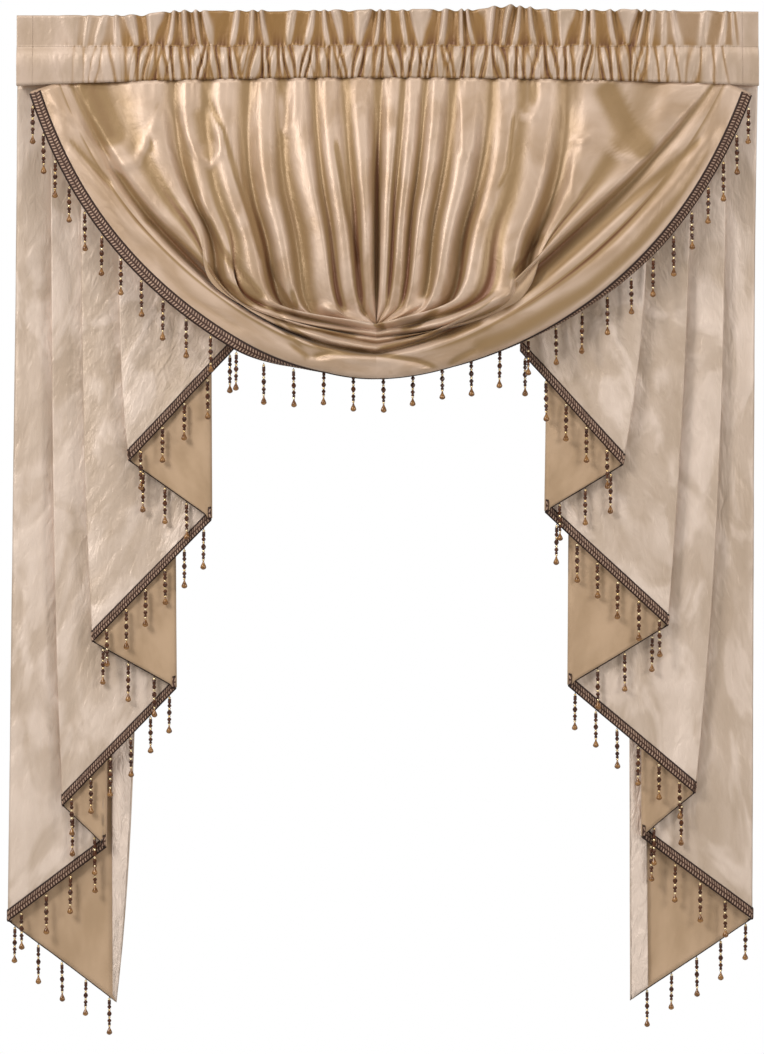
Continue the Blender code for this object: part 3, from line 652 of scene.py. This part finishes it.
def build_heading(finishes):
    """One sheet: up the pocket's front and the ruffle's front, over the edge and down the back.

    The gathers swing the ruffle to the front and back as a sine of an uneven count, and puff the pocket out
    as the size of a sine, which leaves sharp valleys. Both lean, and fine pinches die out from the stitches.
    """
    x = np.linspace(HEAD_LEFT, HEAD_RIGHT, HEAD_COLUMNS)[None, :]
    share = np.linspace(0.0, 1.0, 15)[:, None]
    low, high = lower_edge(x), np.interp(x, *np.transpose(RUFFLE_EDGE))
    strength = gather_strength(x)
    lean = 0.0050 * np.sin(x * 71.0 + 1.0) + 0.0035 * np.sin(x * 151.0)
    turns, height = uneven_turns(x + lean * (share - 0.5) * 2.0, POCKET_PITCH, 5)
    puff = height * (np.abs(np.sin(math.pi * turns)) ** 0.8 - 0.55)
    crossing = CROSS_LEAN * np.sign(np.sin(x * 37.0)) * smooth(np.abs(np.sin(x * 37.0)), 0.0, 0.5)
    crossed, tall = uneven_turns(x + crossing * (share - 0.5), CROSS_PITCH, 29)
    cross = tall * (1.0 - np.abs(np.sin(math.pi * crossed))) ** 2.0
    full = 0.30 + 0.70 * np.sin(math.pi * np.clip(share, 0.02, 0.98)) ** 0.8
    stitches = POCKET_TOP + strength * WANDER * (np.sin(x * 83.0 + 1.0) + 0.6 * np.sin(x * 197.0))
    z = low + (stitches - low) * share
    near_stitch = np.exp(-(stitches - z) / PINCH_REACH) + np.exp(-(z - low) / PINCH_REACH)
    pinch = PINCH * np.sin(x * 2 * math.pi / PINCH_PITCH + 2.0 * np.sin(x * 90.0)) * near_stitch
    table = np.transpose(POCKET_SECTION)
    front, back = (np.polyval(np.polyfit(table[0], table[k], 3), share) for k in (1, 2))
    pocket_front = -front - strength * (PUFF * puff * full + pinch - CROSS * cross * full)
    pocket_back = back + strength * (0.4 * PUFF * puff * full + pinch)
    # Ruffle
    lean = 0.0125 * np.sin(x * 57.0) + 0.0040 * np.sin(x * 133.0 + 2.0)
    turns, height = uneven_turns(x + lean * share, GATHER_PITCH, 11)
    crest = (0.5 + 0.5 * np.cos(2 * math.pi * turns)) ** CREST_WIDTH
    twin = 0.10 * np.cos(6 * math.pi * turns) * (1 - crest)
    swing = strength * RUFFLE_SWING * height * (0.55 - 1.55 * crest - twin) * (0.16 + 0.84 * share ** 0.8)
    pinch = strength * PINCH * np.sin(x * 2 * math.pi / PINCH_PITCH + 2.0) * np.exp(-share * 0.058 / PINCH_REACH)
    scallop = 0.0016 * strength * np.sin(2 * math.pi * turns + 0.8) * height
    ruffle_z = stitches + (high + scallop * share - stitches) * share
    apart = RUFFLE + (0.0020 - RUFFLE) * (1 - share) ** 2
    ruffle_front, ruffle_back = swing + pinch - apart, swing + pinch + apart
    depth = np.concatenate([pocket_front, ruffle_front[1:], ruffle_back[::-1], pocket_back[::-1][1:]])
    heights = np.concatenate([z, ruffle_z[1:], ruffle_z[::-1], z[::-1][1:]])
    # The two sheets of the ruffle close in a round edge, and the cloth closes under the pocket
    edge = len(z) + len(ruffle_z) - 2
    heights[edge:edge + 2] += 0.3 * RUFFLE
    depth, heights = (np.concatenate([grid, grid[:1]]) for grid in (depth, heights))
    points = np.stack([np.broadcast_to(x, depth.shape), depth, heights], axis=-1)
    # Painted shade: golden in the pocket's valleys between its puffs and in the ruffle's valleys between its crests,
    # more near the stitches; the back of the sheet takes half
    pocket_painted_shading = strength * np.clip(0.62 - 1.2 * puff - 0.20 * full + 0.35 * cross, 0.0, 1.0)
    ruffle_painted_shading = strength * ((1 - crest) ** 1.5 * (0.56 + 0.10 * height) + 0.30 * (1 - share) ** 3)
    ruffle_painted_shading = np.maximum(ruffle_painted_shading, np.interp(x, *np.transpose(RUFFLE_PAINTED_SHADE)) * (1 - crest))
    front_painted_shading = np.concatenate([pocket_painted_shading, ruffle_painted_shading[1:]])
    painted_shading = np.concatenate([front_painted_shading, 0.5 * front_painted_shading[::-1], front_painted_shading[:1]])
    uv = cloth_uv(points)
    uv[..., 1] -= uv[len(z) - 1, 0, 1]
    from_end = HEAD_RIGHT - np.abs(points[..., 0])
    fields = {"painted_shading": painted_shading, "from_end": from_end}
    return sheet_object("heading_cloth", points, uv, finishes, fields, thickness=CLOTH)


# ---- Swag ----
def fold_points(folds):
    """Start, middle and end points of the fold lines of one half, in metres."""
    table = np.array(folds, dtype=float) * MM
    stack = np.array(CENTRE_STACK) * MM
    start = np.stack([table[:, 0], table[:, 1], lower_edge(table[:, 0]) - SEAM_GAP], axis=1)
    middle = np.stack([table[:, 2], table[:, 4], table[:, 3]], axis=1)
    end = np.stack([np.full(len(stack), CENTRE_X * MM), stack[:, 1], stack[:, 0]], axis=1)
    return start, middle, end


def parabola(first, middle, last, t):
    """The parabola through three points, at t = 0, a half and 1."""
    return first * (1 - t) * (1 - 2 * t) + middle * 4 * t * (1 - t) + last * t * (2 * t - 1)


def half_swag(folds, roll, index, share, reach, side):
    """Points of one half of the swag: rows along the fold lines, columns from the hem inwards.

    Every fold line is the parabola through its start, middle and end points, bent level at its end. Between
    two fold lines the place goes over evenly and the depth follows half a cosine wave raised to a power, so
    that crests are broad and valleys narrow. The band outside the first line turns on an arc of the roll's
    angle. Returns the points and the painted shade of each point, which grows towards the bottom of a valley.
    """
    start, middle, end = fold_points(folds)
    low = np.minimum(index.astype(int), len(folds) - 2)
    part = (index - low)[:, None]
    crest_first = (middle[low, 1] < middle[low + 1, 1])[:, None]
    way = np.where(crest_first, part, 1 - part)
    drop = (0.5 - 0.5 * np.cos(math.pi * way)) ** ROUNDNESS
    ease = np.where(crest_first, drop, 1 - drop)

    def between(values):
        even = values[low] * (1 - part) + values[low + 1] * part
        even[:, 1] = (values[low] * (1 - ease) + values[low + 1] * ease)[:, 1]
        return even

    a, m, b = between(start), between(middle), between(end)
    a[:, 2] = lower_edge(a[:, 0]) - SEAM_GAP
    t = share[:, None, None]
    body = parabola(a, m, b, t)
    fall, corner = (np.interp(index, np.arange(len(folds)), [row[k] * 0.01 for row in folds]) for k in (5, 6))
    late = smooth(share[:, None], TURN_START, corner) * (1 - smooth(share[:, None], corner, 1.0))
    t_in = share[:, None] - late * fall
    body[..., 0] = parabola(a[:, 0], m[:, 0], b[:, 0], t_in)
    level = (1.0 - index / index[-1])[:, None] ** 2 * (a - 4 * m + 3 * b) * np.array((0.0, 1.0, 1.0))
    body = body + level * t ** 6 * (1 - t)
    crest = body[:, 0]
    along = np.gradient(crest, axis=0)
    out = np.stack([along[:, 2], 0 * share, -along[:, 0]], axis=1) * (1 if side < 0 else -1)
    out[:, 0] *= 1 - share ** 6
    out /= np.linalg.norm(out, axis=1)[:, None]
    angle = (ROLL_ANGLE * np.interp(share, *np.transpose(roll)))[:, None]
    radius = BAND / angle
    turn = angle * reach / BAND
    band = crest[:, None] + out[:, None] * (radius * np.sin(turn))[..., None]
    band[..., 1] += radius * (1 - np.cos(turn))
    valley_shade = np.concatenate([np.zeros(len(reach)), drop[:, 0] * np.clip(index, 0, 1)])
    # The painted shade of the valleys is darker here and there, and lighter near the heading and the tack
    whole = np.concatenate([0 * reach, index])[None, :]
    uneven = np.clip(1.02 + 0.38 * rumple(whole * 0.9, share[:, None] * 1.6, 0.6, 17), 0.45, 1.5)
    shade_strength = (0.45 + 0.50 * smooth(share, 0.1, 0.5)) * (1.0 - 0.70 * smooth(share, 0.80, 0.93))
    return np.concatenate([band, body], axis=1), valley_shade * uneven * shade_strength[:, None]


def swag_relief(points, index, from_hem, share):
    """Unevenness of the swag in front of its folds: puckers under the stitches, ripples along the folds, creases.

    The creases begin inside the braid.
    """
    x, z = points[..., 0], points[..., 2]
    inner = np.clip(index - 0.6, 0.0, 1.6) / 1.6
    clear = smooth(from_hem, SWAG_BRAID + 0.002, SWAG_BRAID + 0.014)
    t = share[:, None]
    pucker = PUCKER * np.exp(-t / PUCKER_REACH) * np.sin(x * 2 * math.pi / PUCKER_PITCH + 2.5 * np.sin(x * 55.0))
    along = 0.0024 * rumple(index[None, :] * 0.6, t * 0.7 + 0 * index[None, :], 0.55, 3) * np.sin(math.pi * t) ** 0.5
    small = 0.0004 * rumple(x, z, 0.030, 8) * np.sin(math.pi * np.clip(t, 0.0, 0.97)) ** 0.3
    fade = np.clip((1 - t) / 0.12, 0.0, 1.0)
    # The creases also give their painted shade and painted highlights
    creases, tone = crease_field(x, z, SWAG_CREASES)
    return (pucker + along * fade + small * fade) * inner + creases * clear, tone * clear


def build_swag(finishes):
    """One sheet of two halves that share the fold line in the middle and are sewn along the centre line."""
    share = np.concatenate([np.linspace(0.0, LOWER_START, UPPER_ROWS, endpoint=False),
                            np.linspace(LOWER_START, 1.0, LOWER_ROWS)])
    index = np.arange(0, (len(FOLDS_LEFT) - 1) * FOLD_STEPS + 1) / FOLD_STEPS
    reach = BAND * np.arange(BAND_STEPS, 0, -1) / BAND_STEPS
    whole = np.concatenate([np.zeros(BAND_STEPS), index])
    from_hem = BAND * np.concatenate([np.arange(BAND_STEPS) / BAND_STEPS, 1.0 + index])
    halves, valleys = [], []
    for folds, roll, side in ((FOLDS_LEFT, ROLL_LEFT, -1), (FOLDS_RIGHT, ROLL_RIGHT, 1)):
        points, valley_shade = half_swag(folds, roll, index, share, reach, side)
        relief, crease_shading = swag_relief(points, whole, from_hem, share)
        points[..., 1] += relief
        halves.append(points)
        # Painted shade of the valleys, deepened by the painted shade of the creases and lightened by their painted
        # highlights
        valleys.append(np.clip(np.where(crease_shading > 0.0, np.maximum(valley_shade, crease_shading), valley_shade + crease_shading), 0.0, 1.0))
    middle = 0.5 * (halves[0][:, -1] + halves[1][:, -1])
    halves[0][:, -1] = middle
    points = np.concatenate([halves[0], halves[1][:, -2::-1]], axis=1)
    valley_shade = np.concatenate([valleys[0], valleys[1][:, -2::-1]], axis=1)
    # The two halves share their points along the centre line of the last row
    numbers = whole_numbers(*points.shape[:2])
    half = points.shape[1] // 2
    numbers[-1, half + 1:] = numbers[-1, :half][::-1]
    return sheet_object("swag_cloth", points, cloth_uv(points), finishes, {"painted_shading": valley_shade}, numbers, True, CLOTH)


# ---- Tails ----
def tail_stations(edges, steps, turns):
    """Layer, share of the way to its far edge and turn round the fold there, for each column of a folded tail."""
    layers = len(edges) - 1
    rows = []
    for layer in range(layers):
        first = 0.0 if layer == 0 else 0.5
        count = steps + 1 if layer == layers - 1 else steps
        rows += [(layer, (step + first) / (steps + first), math.nan) for step in range(count)]
        if layer < layers - 1:
            rows += [(layer, 1.0, turn) for turn in np.linspace(-0.5 * math.pi, 0.5 * math.pi, turns)]
    return np.array(rows)


def tail_points(edges, stations, v):
    """Points of a tail at the shares v of its height, one row for each row of v.

    The place goes evenly from one edge to the next, and an edge bends by a power of the height's share.
    The layers fan out below the heading and hang parallel from SPREAD_HEIGHT down. On a fold the sheet
    turns half round between the depths of its two layers.
    """
    table, depths = np.array(edges), np.array(LAYER_DEPTHS)
    layer, part, turn = stations[:, 0].astype(int), stations[:, 1], stations[:, 2]
    following = np.minimum(layer + 1, len(LAYER_DEPTHS) - 1)
    near, far = table[layer], table[layer + 1]
    x_near, x_far = (edge[:, 0] + (edge[:, 1] - edge[:, 0]) * v ** edge[:, 3] for edge in (near, far))
    low = near[:, 2] * (1 - part) + far[:, 2] * part
    height = (lower_edge(x_near * (1 - part) + x_far * part) - SEAM_GAP - low) * v
    fan = 1.0 - (1.0 - np.minimum(height / SPREAD_HEIGHT, 1.0)) ** 2
    y_near, y_far = (depths[k, 0] + (depths[k, 1] - depths[k, 0]) * fan for k in (layer, following))
    radius = 0.5 * (y_far - y_near)
    flat = np.isnan(turn)
    angle = np.where(flat, 0.0, turn)
    outward = np.sign(x_far - x_near)
    x = np.where(flat, x_near * (1 - part) + x_far * part, x_far + outward * np.abs(radius) * (np.cos(angle) - 1.0))
    y = np.where(flat, y_near, y_near + radius * (1.0 + np.sin(angle)))
    top = lower_edge(x) - SEAM_GAP + TUCK * smooth(y, TUCK_FRONT, TUCK_BACK) * (v < 0.5)
    z = top + (low - top) * v
    # All layers share the same soft unevenness, so that none meets the next
    y = y + RIPPLE * np.sin(x * RIPPLE_TURN) * fan
    y = y + (0.0016 * rumple(x, z * 0.45, 0.055, 21) + 0.0007 * rumple(x, z * 0.7, 0.020, 22)) * fan
    y = y + crease_field(x, z, TAIL_CREASES)[0] * fan
    return np.stack([x, y, z], axis=-1)


def build_tail(name, edges, finishes):
    """One sheet folded back and forth."""
    stations = tail_stations(edges, LAYER_STEPS, TURN_STEPS)
    shares = np.linspace(0.0, 1.0, TAIL_ROWS)[:, None] * np.ones(len(stations))
    points = tail_points(edges, stations, shares)
    # The last layer, the turned side hem, takes a painted highlight
    last = stations[:, 0] == len(edges) - 2
    fields = {"painted_shading": np.where(last, SIDE_HEM_PAINTED_LIGHT, 0.0) * np.ones((len(points), 1))}
    right = edges[0][0] > 0
    return sheet_object(name, points, cloth_uv(points), finishes, fields, flip=right, thickness=CLOTH)


# ---- Braid and beads ----
def plait(run, width):
    """Relief of the braid: a herringbone whose ribs meet in the middle, between two rounded edge cords.

    Width goes from 0 to 1 across the braid.
    """
    middle = np.abs(width - 0.5) * 2.0
    ribs = np.abs(np.sin(math.pi * run / PLAIT + 1.8 * middle)) ** 0.7
    cords = np.exp(-((middle - 0.86) / 0.12) ** 2)
    return PLAIT_HEIGHT * (ribs * (1 - cords) + 1.5 * cords)


def braid_object(name, base, normal, finish):
    """A closed band on a surface: the relief outside, a flat back. Base has a column for each step across."""
    run = arc(base, 0).mean(axis=1)[:, None]
    width = np.linspace(0.0, 1.0, base.shape[1])[None, :]
    inner = base + normal * (0.5 * CLOTH + CLEAR)
    rounding = 1.0 - np.abs(2.0 * width - 1.0) ** 6
    thick = 0.25 * BRAID_THICK + 0.75 * BRAID_THICK * rounding + plait(run, width) * rounding
    outer = inner + normal * thick[..., None]
    points = np.concatenate([outer, inner[:, ::-1], outer[:, :1]], axis=1)
    across = np.concatenate([width, width[:, ::-1], width[:, :1]], axis=1)
    uv = np.stack(np.broadcast_arrays(run, across), axis=-1)
    rows, columns = points.shape[:2]
    numbers = whole_numbers(rows, columns - 1)
    numbers = np.concatenate([numbers, numbers[:, :1]], axis=1)
    corners, places = quads(numbers), quads(whole_numbers(rows, columns))
    step = 1
    if inside_out(points[:, :-1], corners):
        corners, places, step = corners[:, ::-1], places[:, ::-1], -1
    mesh = bpy.data.meshes.new(name)
    ends = [numbers[0, :-1][::-step].tolist(), numbers[-1, :-1][::step].tolist()]
    mesh.from_pydata(points[:, :-1].reshape(-1, 3).tolist(), [], corners.tolist() + ends)
    corner_uv = uv.reshape(-1, 2)[places.ravel()]
    end_uv = np.concatenate([uv[0, :-1][::-step], uv[-1, :-1][::step]])
    add_uv(mesh, np.concatenate([corner_uv, end_uv]))
    mesh.shade_smooth()
    return add_object(name, mesh, [finish])


def strands_object(name, spots, finishes):
    """Bead strands hung from their spots: rings of each bead's outline, joined from top to bottom.

    Every strand is a little longer or shorter than the next and leans by a degree or so.
    """
    rings, finish_of, rounded = [], [], []
    depth = 0.0
    for kind, length, radius, finish in BEADS:
        for share, wide in OUTLINES[kind]:
            rings.append((depth + share * length, wide * radius))
            finish_of.append(finish)
            rounded.append(kind != "facet")
        depth += length
    rings = np.array(rings) * MM
    count, levels = len(spots), len(rings)
    number = np.arange(count)
    scale = (STRAND_LENGTH / (depth * MM)) * (1.0 + 0.06 * np.sin(1.7 * number))
    lean = 0.014 * np.stack([np.sin(2.1 * number), -np.abs(np.cos(3.3 * number))], axis=1)
    angle = np.arange(STRAND_SIDES) * 2 * math.pi / STRAND_SIDES
    angle = angle[None, None, :] + number[:, None, None] * 0.7
    down = rings[None, :, 0, None] * scale[:, None, None]
    wide = rings[None, :, 1, None]
    x = spots[:, 0, None, None] + lean[:, 0, None, None] * down + wide * np.cos(angle)
    y = spots[:, 1, None, None] + lean[:, 1, None, None] * down + wide * np.sin(angle)
    z = spots[:, 2, None, None] - down + 0 * angle
    points = np.stack(np.broadcast_arrays(x, y, z), axis=-1)
    base = whole_numbers(count * levels, STRAND_SIDES).reshape(count, levels, STRAND_SIDES)
    beside = np.roll(base, -1, axis=2)
    walls = np.stack([base[:, :-1], base[:, 1:], beside[:, 1:], beside[:, :-1]], axis=-1)
    order = walls.transpose(1, 0, 2, 3).reshape(-1, 4)
    caps = base[:, 0].tolist() + base[:, -1, ::-1].tolist()
    mesh = bpy.data.meshes.new(name)
    mesh.from_pydata(points.reshape(-1, 3).tolist(), [], order.tolist() + caps)
    around = np.broadcast_to(angle * 0.001, points.shape[:3])
    lengths = np.broadcast_to(down + number[:, None, None] * 0.1, points.shape[:3])
    uv = np.stack([around, lengths], axis=-1).reshape(-1, 2)
    loops = np.concatenate([order.ravel(), np.array(caps).ravel()])
    add_uv(mesh, uv[loops])
    each = count * STRAND_SIDES
    # The wall under a ring belongs to the bead that the ring starts or continues
    index = np.concatenate([np.repeat(finish_of[:-1], each), np.zeros(count), np.full(count, AMBER)])
    curved = np.concatenate([np.repeat(rounded[:-1], each), np.ones(2 * count)])
    mesh.polygons.foreach_set("material_index", index.astype(np.int32))
    mesh.polygons.foreach_set("use_smooth", curved.astype(bool))
    return add_object(name, mesh, finishes)


def along_hem(line, normal, places, shares):
    """Points in front of a braid's lower edge at the given places along it."""
    rim = line + normal * (0.5 * CLOTH + CLEAR + STRAND_OFF)
    return np.stack([np.interp(places, shares, rim[:, axis]) for axis in range(3)], axis=1)


def tail_trim(name, edges, strands, finish, beads):
    """Braid on the tail's face side along the hem of all but the last layer, and its bead strands."""
    covered = edges[:-1]
    turns = [row for row in tail_stations(covered, 1, BRAID_TURNS) if not math.isnan(row[2])]
    # Even steps along every layer, with the turns of the folds between them
    columns = []
    for layer in range(len(covered) - 1):
        near, far = covered[layer], covered[layer + 1]
        length = math.hypot(far[1] - near[1], far[2] - near[2])
        steps = int(length / BRAID_STEP)
        parts = np.arange(0 if layer == 0 else 1, steps + (1 if layer == len(covered) - 2 else 0)) / steps
        columns += [(layer, part, math.nan) for part in parts]
        columns += [row for row in turns if int(row[0]) == layer]
    stations = np.array(columns, dtype=float)
    table = np.array(covered)
    layer = stations[:, 0].astype(int)
    heights = -(table[layer, 2] * (1 - stations[:, 1]) + table[layer + 1, 2] * stations[:, 1])
    rises = np.linspace(-BRAID_BELOW, TAIL_BRAID, BRAID_ACROSS)[:, None]
    grid = tail_points(covered, stations, 1.0 - np.maximum(rises, 0.0) / heights)
    grid[..., 2] += np.minimum(rises, 0.0)
    normal = square_to(grid) * (-1.0 if edges[0][0] < 0 else 1.0)
    base, normal = grid.transpose(1, 0, 2), normal.transpose(1, 0, 2)
    band = braid_object(name + "_braid", base[:, ::-1], normal[:, ::-1], finish)
    shares = stations[:, 0] + stations[:, 1]
    flat = np.isnan(stations[:, 2])
    places = np.concatenate([layer + np.linspace(first, last, count)
                             for layer, (count, first, last) in enumerate(strands)])
    spots = along_hem(base[flat, 0], normal[flat, 0], places, shares[flat])
    return band, strands_object(name + "_beads", spots, beads)


def swag_trim(finish, beads):
    """Braid on the swag's face side along its hem, and its bead strands, evenly spaced along the hem."""
    share = np.linspace(0.004, 1.0, int(0.80 / BRAID_STEP))
    reach = np.linspace(BAND + BRAID_BELOW, BAND - SWAG_BRAID, BRAID_ACROSS)
    halves = [half_swag(folds, roll, np.arange(0.0, 2.0), share, reach, side)[0][:, :BRAID_ACROSS]
              for folds, roll, side in ((FOLDS_LEFT, ROLL_LEFT, -1), (FOLDS_RIGHT, ROLL_RIGHT, 1))]
    base = np.concatenate([halves[0], halves[1][-2::-1]])
    normal = -square_to(base)
    band = braid_object("swag_braid", base[:, ::-1], normal[:, ::-1], finish)
    line = base[:, 0]
    run = arc(line, 0)
    places = np.linspace(*SWAG_STRAND_ENDS, SWAG_STRANDS) * run[-1]
    return band, strands_object("swag_beads", along_hem(line, normal[:, 0], places, run), beads)


# ---- Studio ----
CAMERA_AWAY = 7.0
VIEW_HEIGHT = 1.697
VIEW_CENTRE = (-0.009, -0.749)
FLOOR_SIDES, FLOOR_RADIUS, FLOOR_HEIGHT = 96, 3.0, -2.15
LIGHT_AIM = (0.0, 0.0, -0.6)
WORLD_LIGHT = 0.30
# Soft lights: name, place, width and height, watts
LIGHTS = (
    ("key", (-2.8, -2.6, 1.5), (1.1, 1.6), 106.0),
    ("fill", (3.2, -2.6, 0.2), (0.9, 2.0), 48.0),
    ("top", (0.2, -1.3, 2.4), (2.2, 0.5), 22.0),
    ("back", (0.0, 3.5, 1.2), (3.0, 2.0), 30.0),
)


def studio():
    """Pale floor, soft lights, and a long lens straight in front."""
    angle = np.linspace(0.0, 2 * math.pi, FLOOR_SIDES, endpoint=False)
    height = np.full(FLOOR_SIDES, FLOOR_HEIGHT)
    points = np.stack([FLOOR_RADIUS * np.cos(angle), FLOOR_RADIUS * np.sin(angle), height], axis=1)
    mesh = bpy.data.meshes.new("floor")
    mesh.from_pydata(points.tolist(), [], [list(range(FLOOR_SIDES))])
    pale = Finish("floor_paint")
    where = pale.node("ShaderNodeTexCoord").outputs["Object"]
    speckle = pale.noise(where, (1.0, 1.0), 30.0)
    pale.set(Base_Color=pale.mix(speckle, (0.80, 0.80, 0.79), (0.84, 0.84, 0.83)), Roughness=0.7)
    floor = add_object("floor", mesh, [pale.material])
    for name, place, size, power in LIGHTS:
        light = bpy.data.lights.new(name, "AREA")
        light.shape = "RECTANGLE"
        light.size, light.size_y = size
        light.energy = power
        lamp = bpy.data.objects.new(name, light)
        lamp.location = place
        towards = np.array(LIGHT_AIM) - np.array(place)
        lamp.rotation_euler = (math.atan2(math.hypot(towards[0], towards[1]), -towards[2]), 0.0,
                               math.atan2(towards[1], towards[0]) - 0.5 * math.pi)
        bpy.context.scene.collection.objects.link(lamp)
    world = bpy.data.worlds.new("studio")
    bpy.context.scene.world = world
    world.use_nodes = True
    tree = world.node_tree
    dim = tree.nodes["Background"]
    dim.inputs["Color"].default_value = (1.0, 0.97, 0.93, 1.0)
    dim.inputs["Strength"].default_value = WORLD_LIGHT
    white = tree.nodes.new("ShaderNodeBackground")
    white.inputs["Color"].default_value = (1.0, 1.0, 1.0, 1.0)
    seen = tree.nodes.new("ShaderNodeLightPath")
    mixed = tree.nodes.new("ShaderNodeMixShader")
    tree.links.new(seen.outputs["Is Camera Ray"], mixed.inputs["Fac"])
    tree.links.new(dim.outputs["Background"], mixed.inputs[1])
    tree.links.new(white.outputs["Background"], mixed.inputs[2])
    tree.links.new(mixed.outputs["Shader"], tree.nodes["World Output"].inputs["Surface"])
    camera = bpy.data.cameras.new("camera")
    camera.sensor_fit = "VERTICAL"
    camera.lens = camera.sensor_height * CAMERA_AWAY / VIEW_HEIGHT
    eye = bpy.data.objects.new("camera", camera)
    eye.location = (VIEW_CENTRE[0], -CAMERA_AWAY, VIEW_CENTRE[1])
    eye.rotation_euler = (0.5 * math.pi, 0.0, 0.0)
    bpy.context.scene.collection.objects.link(eye)
    bpy.context.scene.camera = eye
    bpy.context.scene.view_settings.view_transform = "Standard"


def finish_piece(piece, slot, *nodes):
    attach(piece, "root")
    if nodes:
        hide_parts(*nodes)
    return piece


def main():
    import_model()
    # Painted shade colours of the hollows: golden, then dark brown
    painted_shade_golden, brown = (0.36, 0.225, 0.105), (0.18, 0.070, 0.028)
    swag_face = satin("swag_satin_face", pale=(0.71, 0.525, 0.395), mid=(0.50, 0.335, 0.21), painted_shade_golden=painted_shade_golden, shade_and_stitch_brown=brown,
                      metallic=0.24, roughness=0.40, crumple=0.0018, cloudy=0.15)
    heading_face = satin("heading_satin_face", pale=(0.66, 0.50, 0.39), mid=(0.52, 0.38, 0.27),
                         painted_shade_golden=(0.31, 0.165, 0.052), shade_and_stitch_brown=(0.15, 0.055, 0.018),
                         metallic=0.20, roughness=0.42, crumple=0.0022, cloudy=0.10, stitched=True)
    tail_face = satin("tail_satin_face", pale=(0.91, 0.74, 0.62), mid=(0.57, 0.43, 0.315), painted_shade_golden=painted_shade_golden, shade_and_stitch_brown=brown,
                      metallic=0.20, roughness=0.42, crumple=0.0035, cloudy=0.65)
    reverse = satin_back("satin_reverse", (0.57, 0.39, 0.245), (0.46, 0.305, 0.18))
    braid = braid_finish("plaited_braid")
    beads = (
        bead_finish("gold_beads", (0.85, 0.60, 0.28), (0.95, 0.80, 0.50), 0.22, 0.9, 0.2),
        bead_finish("brown_glass", (0.045, 0.012, 0.004), (0.115, 0.036, 0.011), 0.26, 0.0, 0.1),
        bead_finish("amber_drops", (0.155, 0.060, 0.016), (0.36, 0.175, 0.055), 0.18, 0.1, 0.4),
    )
    heading = finish_piece(build_heading((heading_face, reverse)), "heading_satin", "heading")
    swag = finish_piece(build_swag((swag_face, reverse)), "swag_satin", "swag")
    band, strands = swag_trim(braid, beads)
    finish_piece(band, "bead_braid", "swag_fringe")
    finish_piece(strands, "bead_braid", "swag_fringe")
    for name, edges, table in (("tail_left", TAIL_LEFT, STRANDS_LEFT), ("tail_right", TAIL_RIGHT, STRANDS_RIGHT)):
        cloth = finish_piece(build_tail(name + "_cloth", edges, (tail_face, reverse)), "tail_satin", name)
        band, strands = tail_trim(name, edges, table, braid, beads)
        finish_piece(band, "bead_braid", name + "_fringe")
        finish_piece(strands, "bead_braid", name + "_fringe")
    studio()


main()
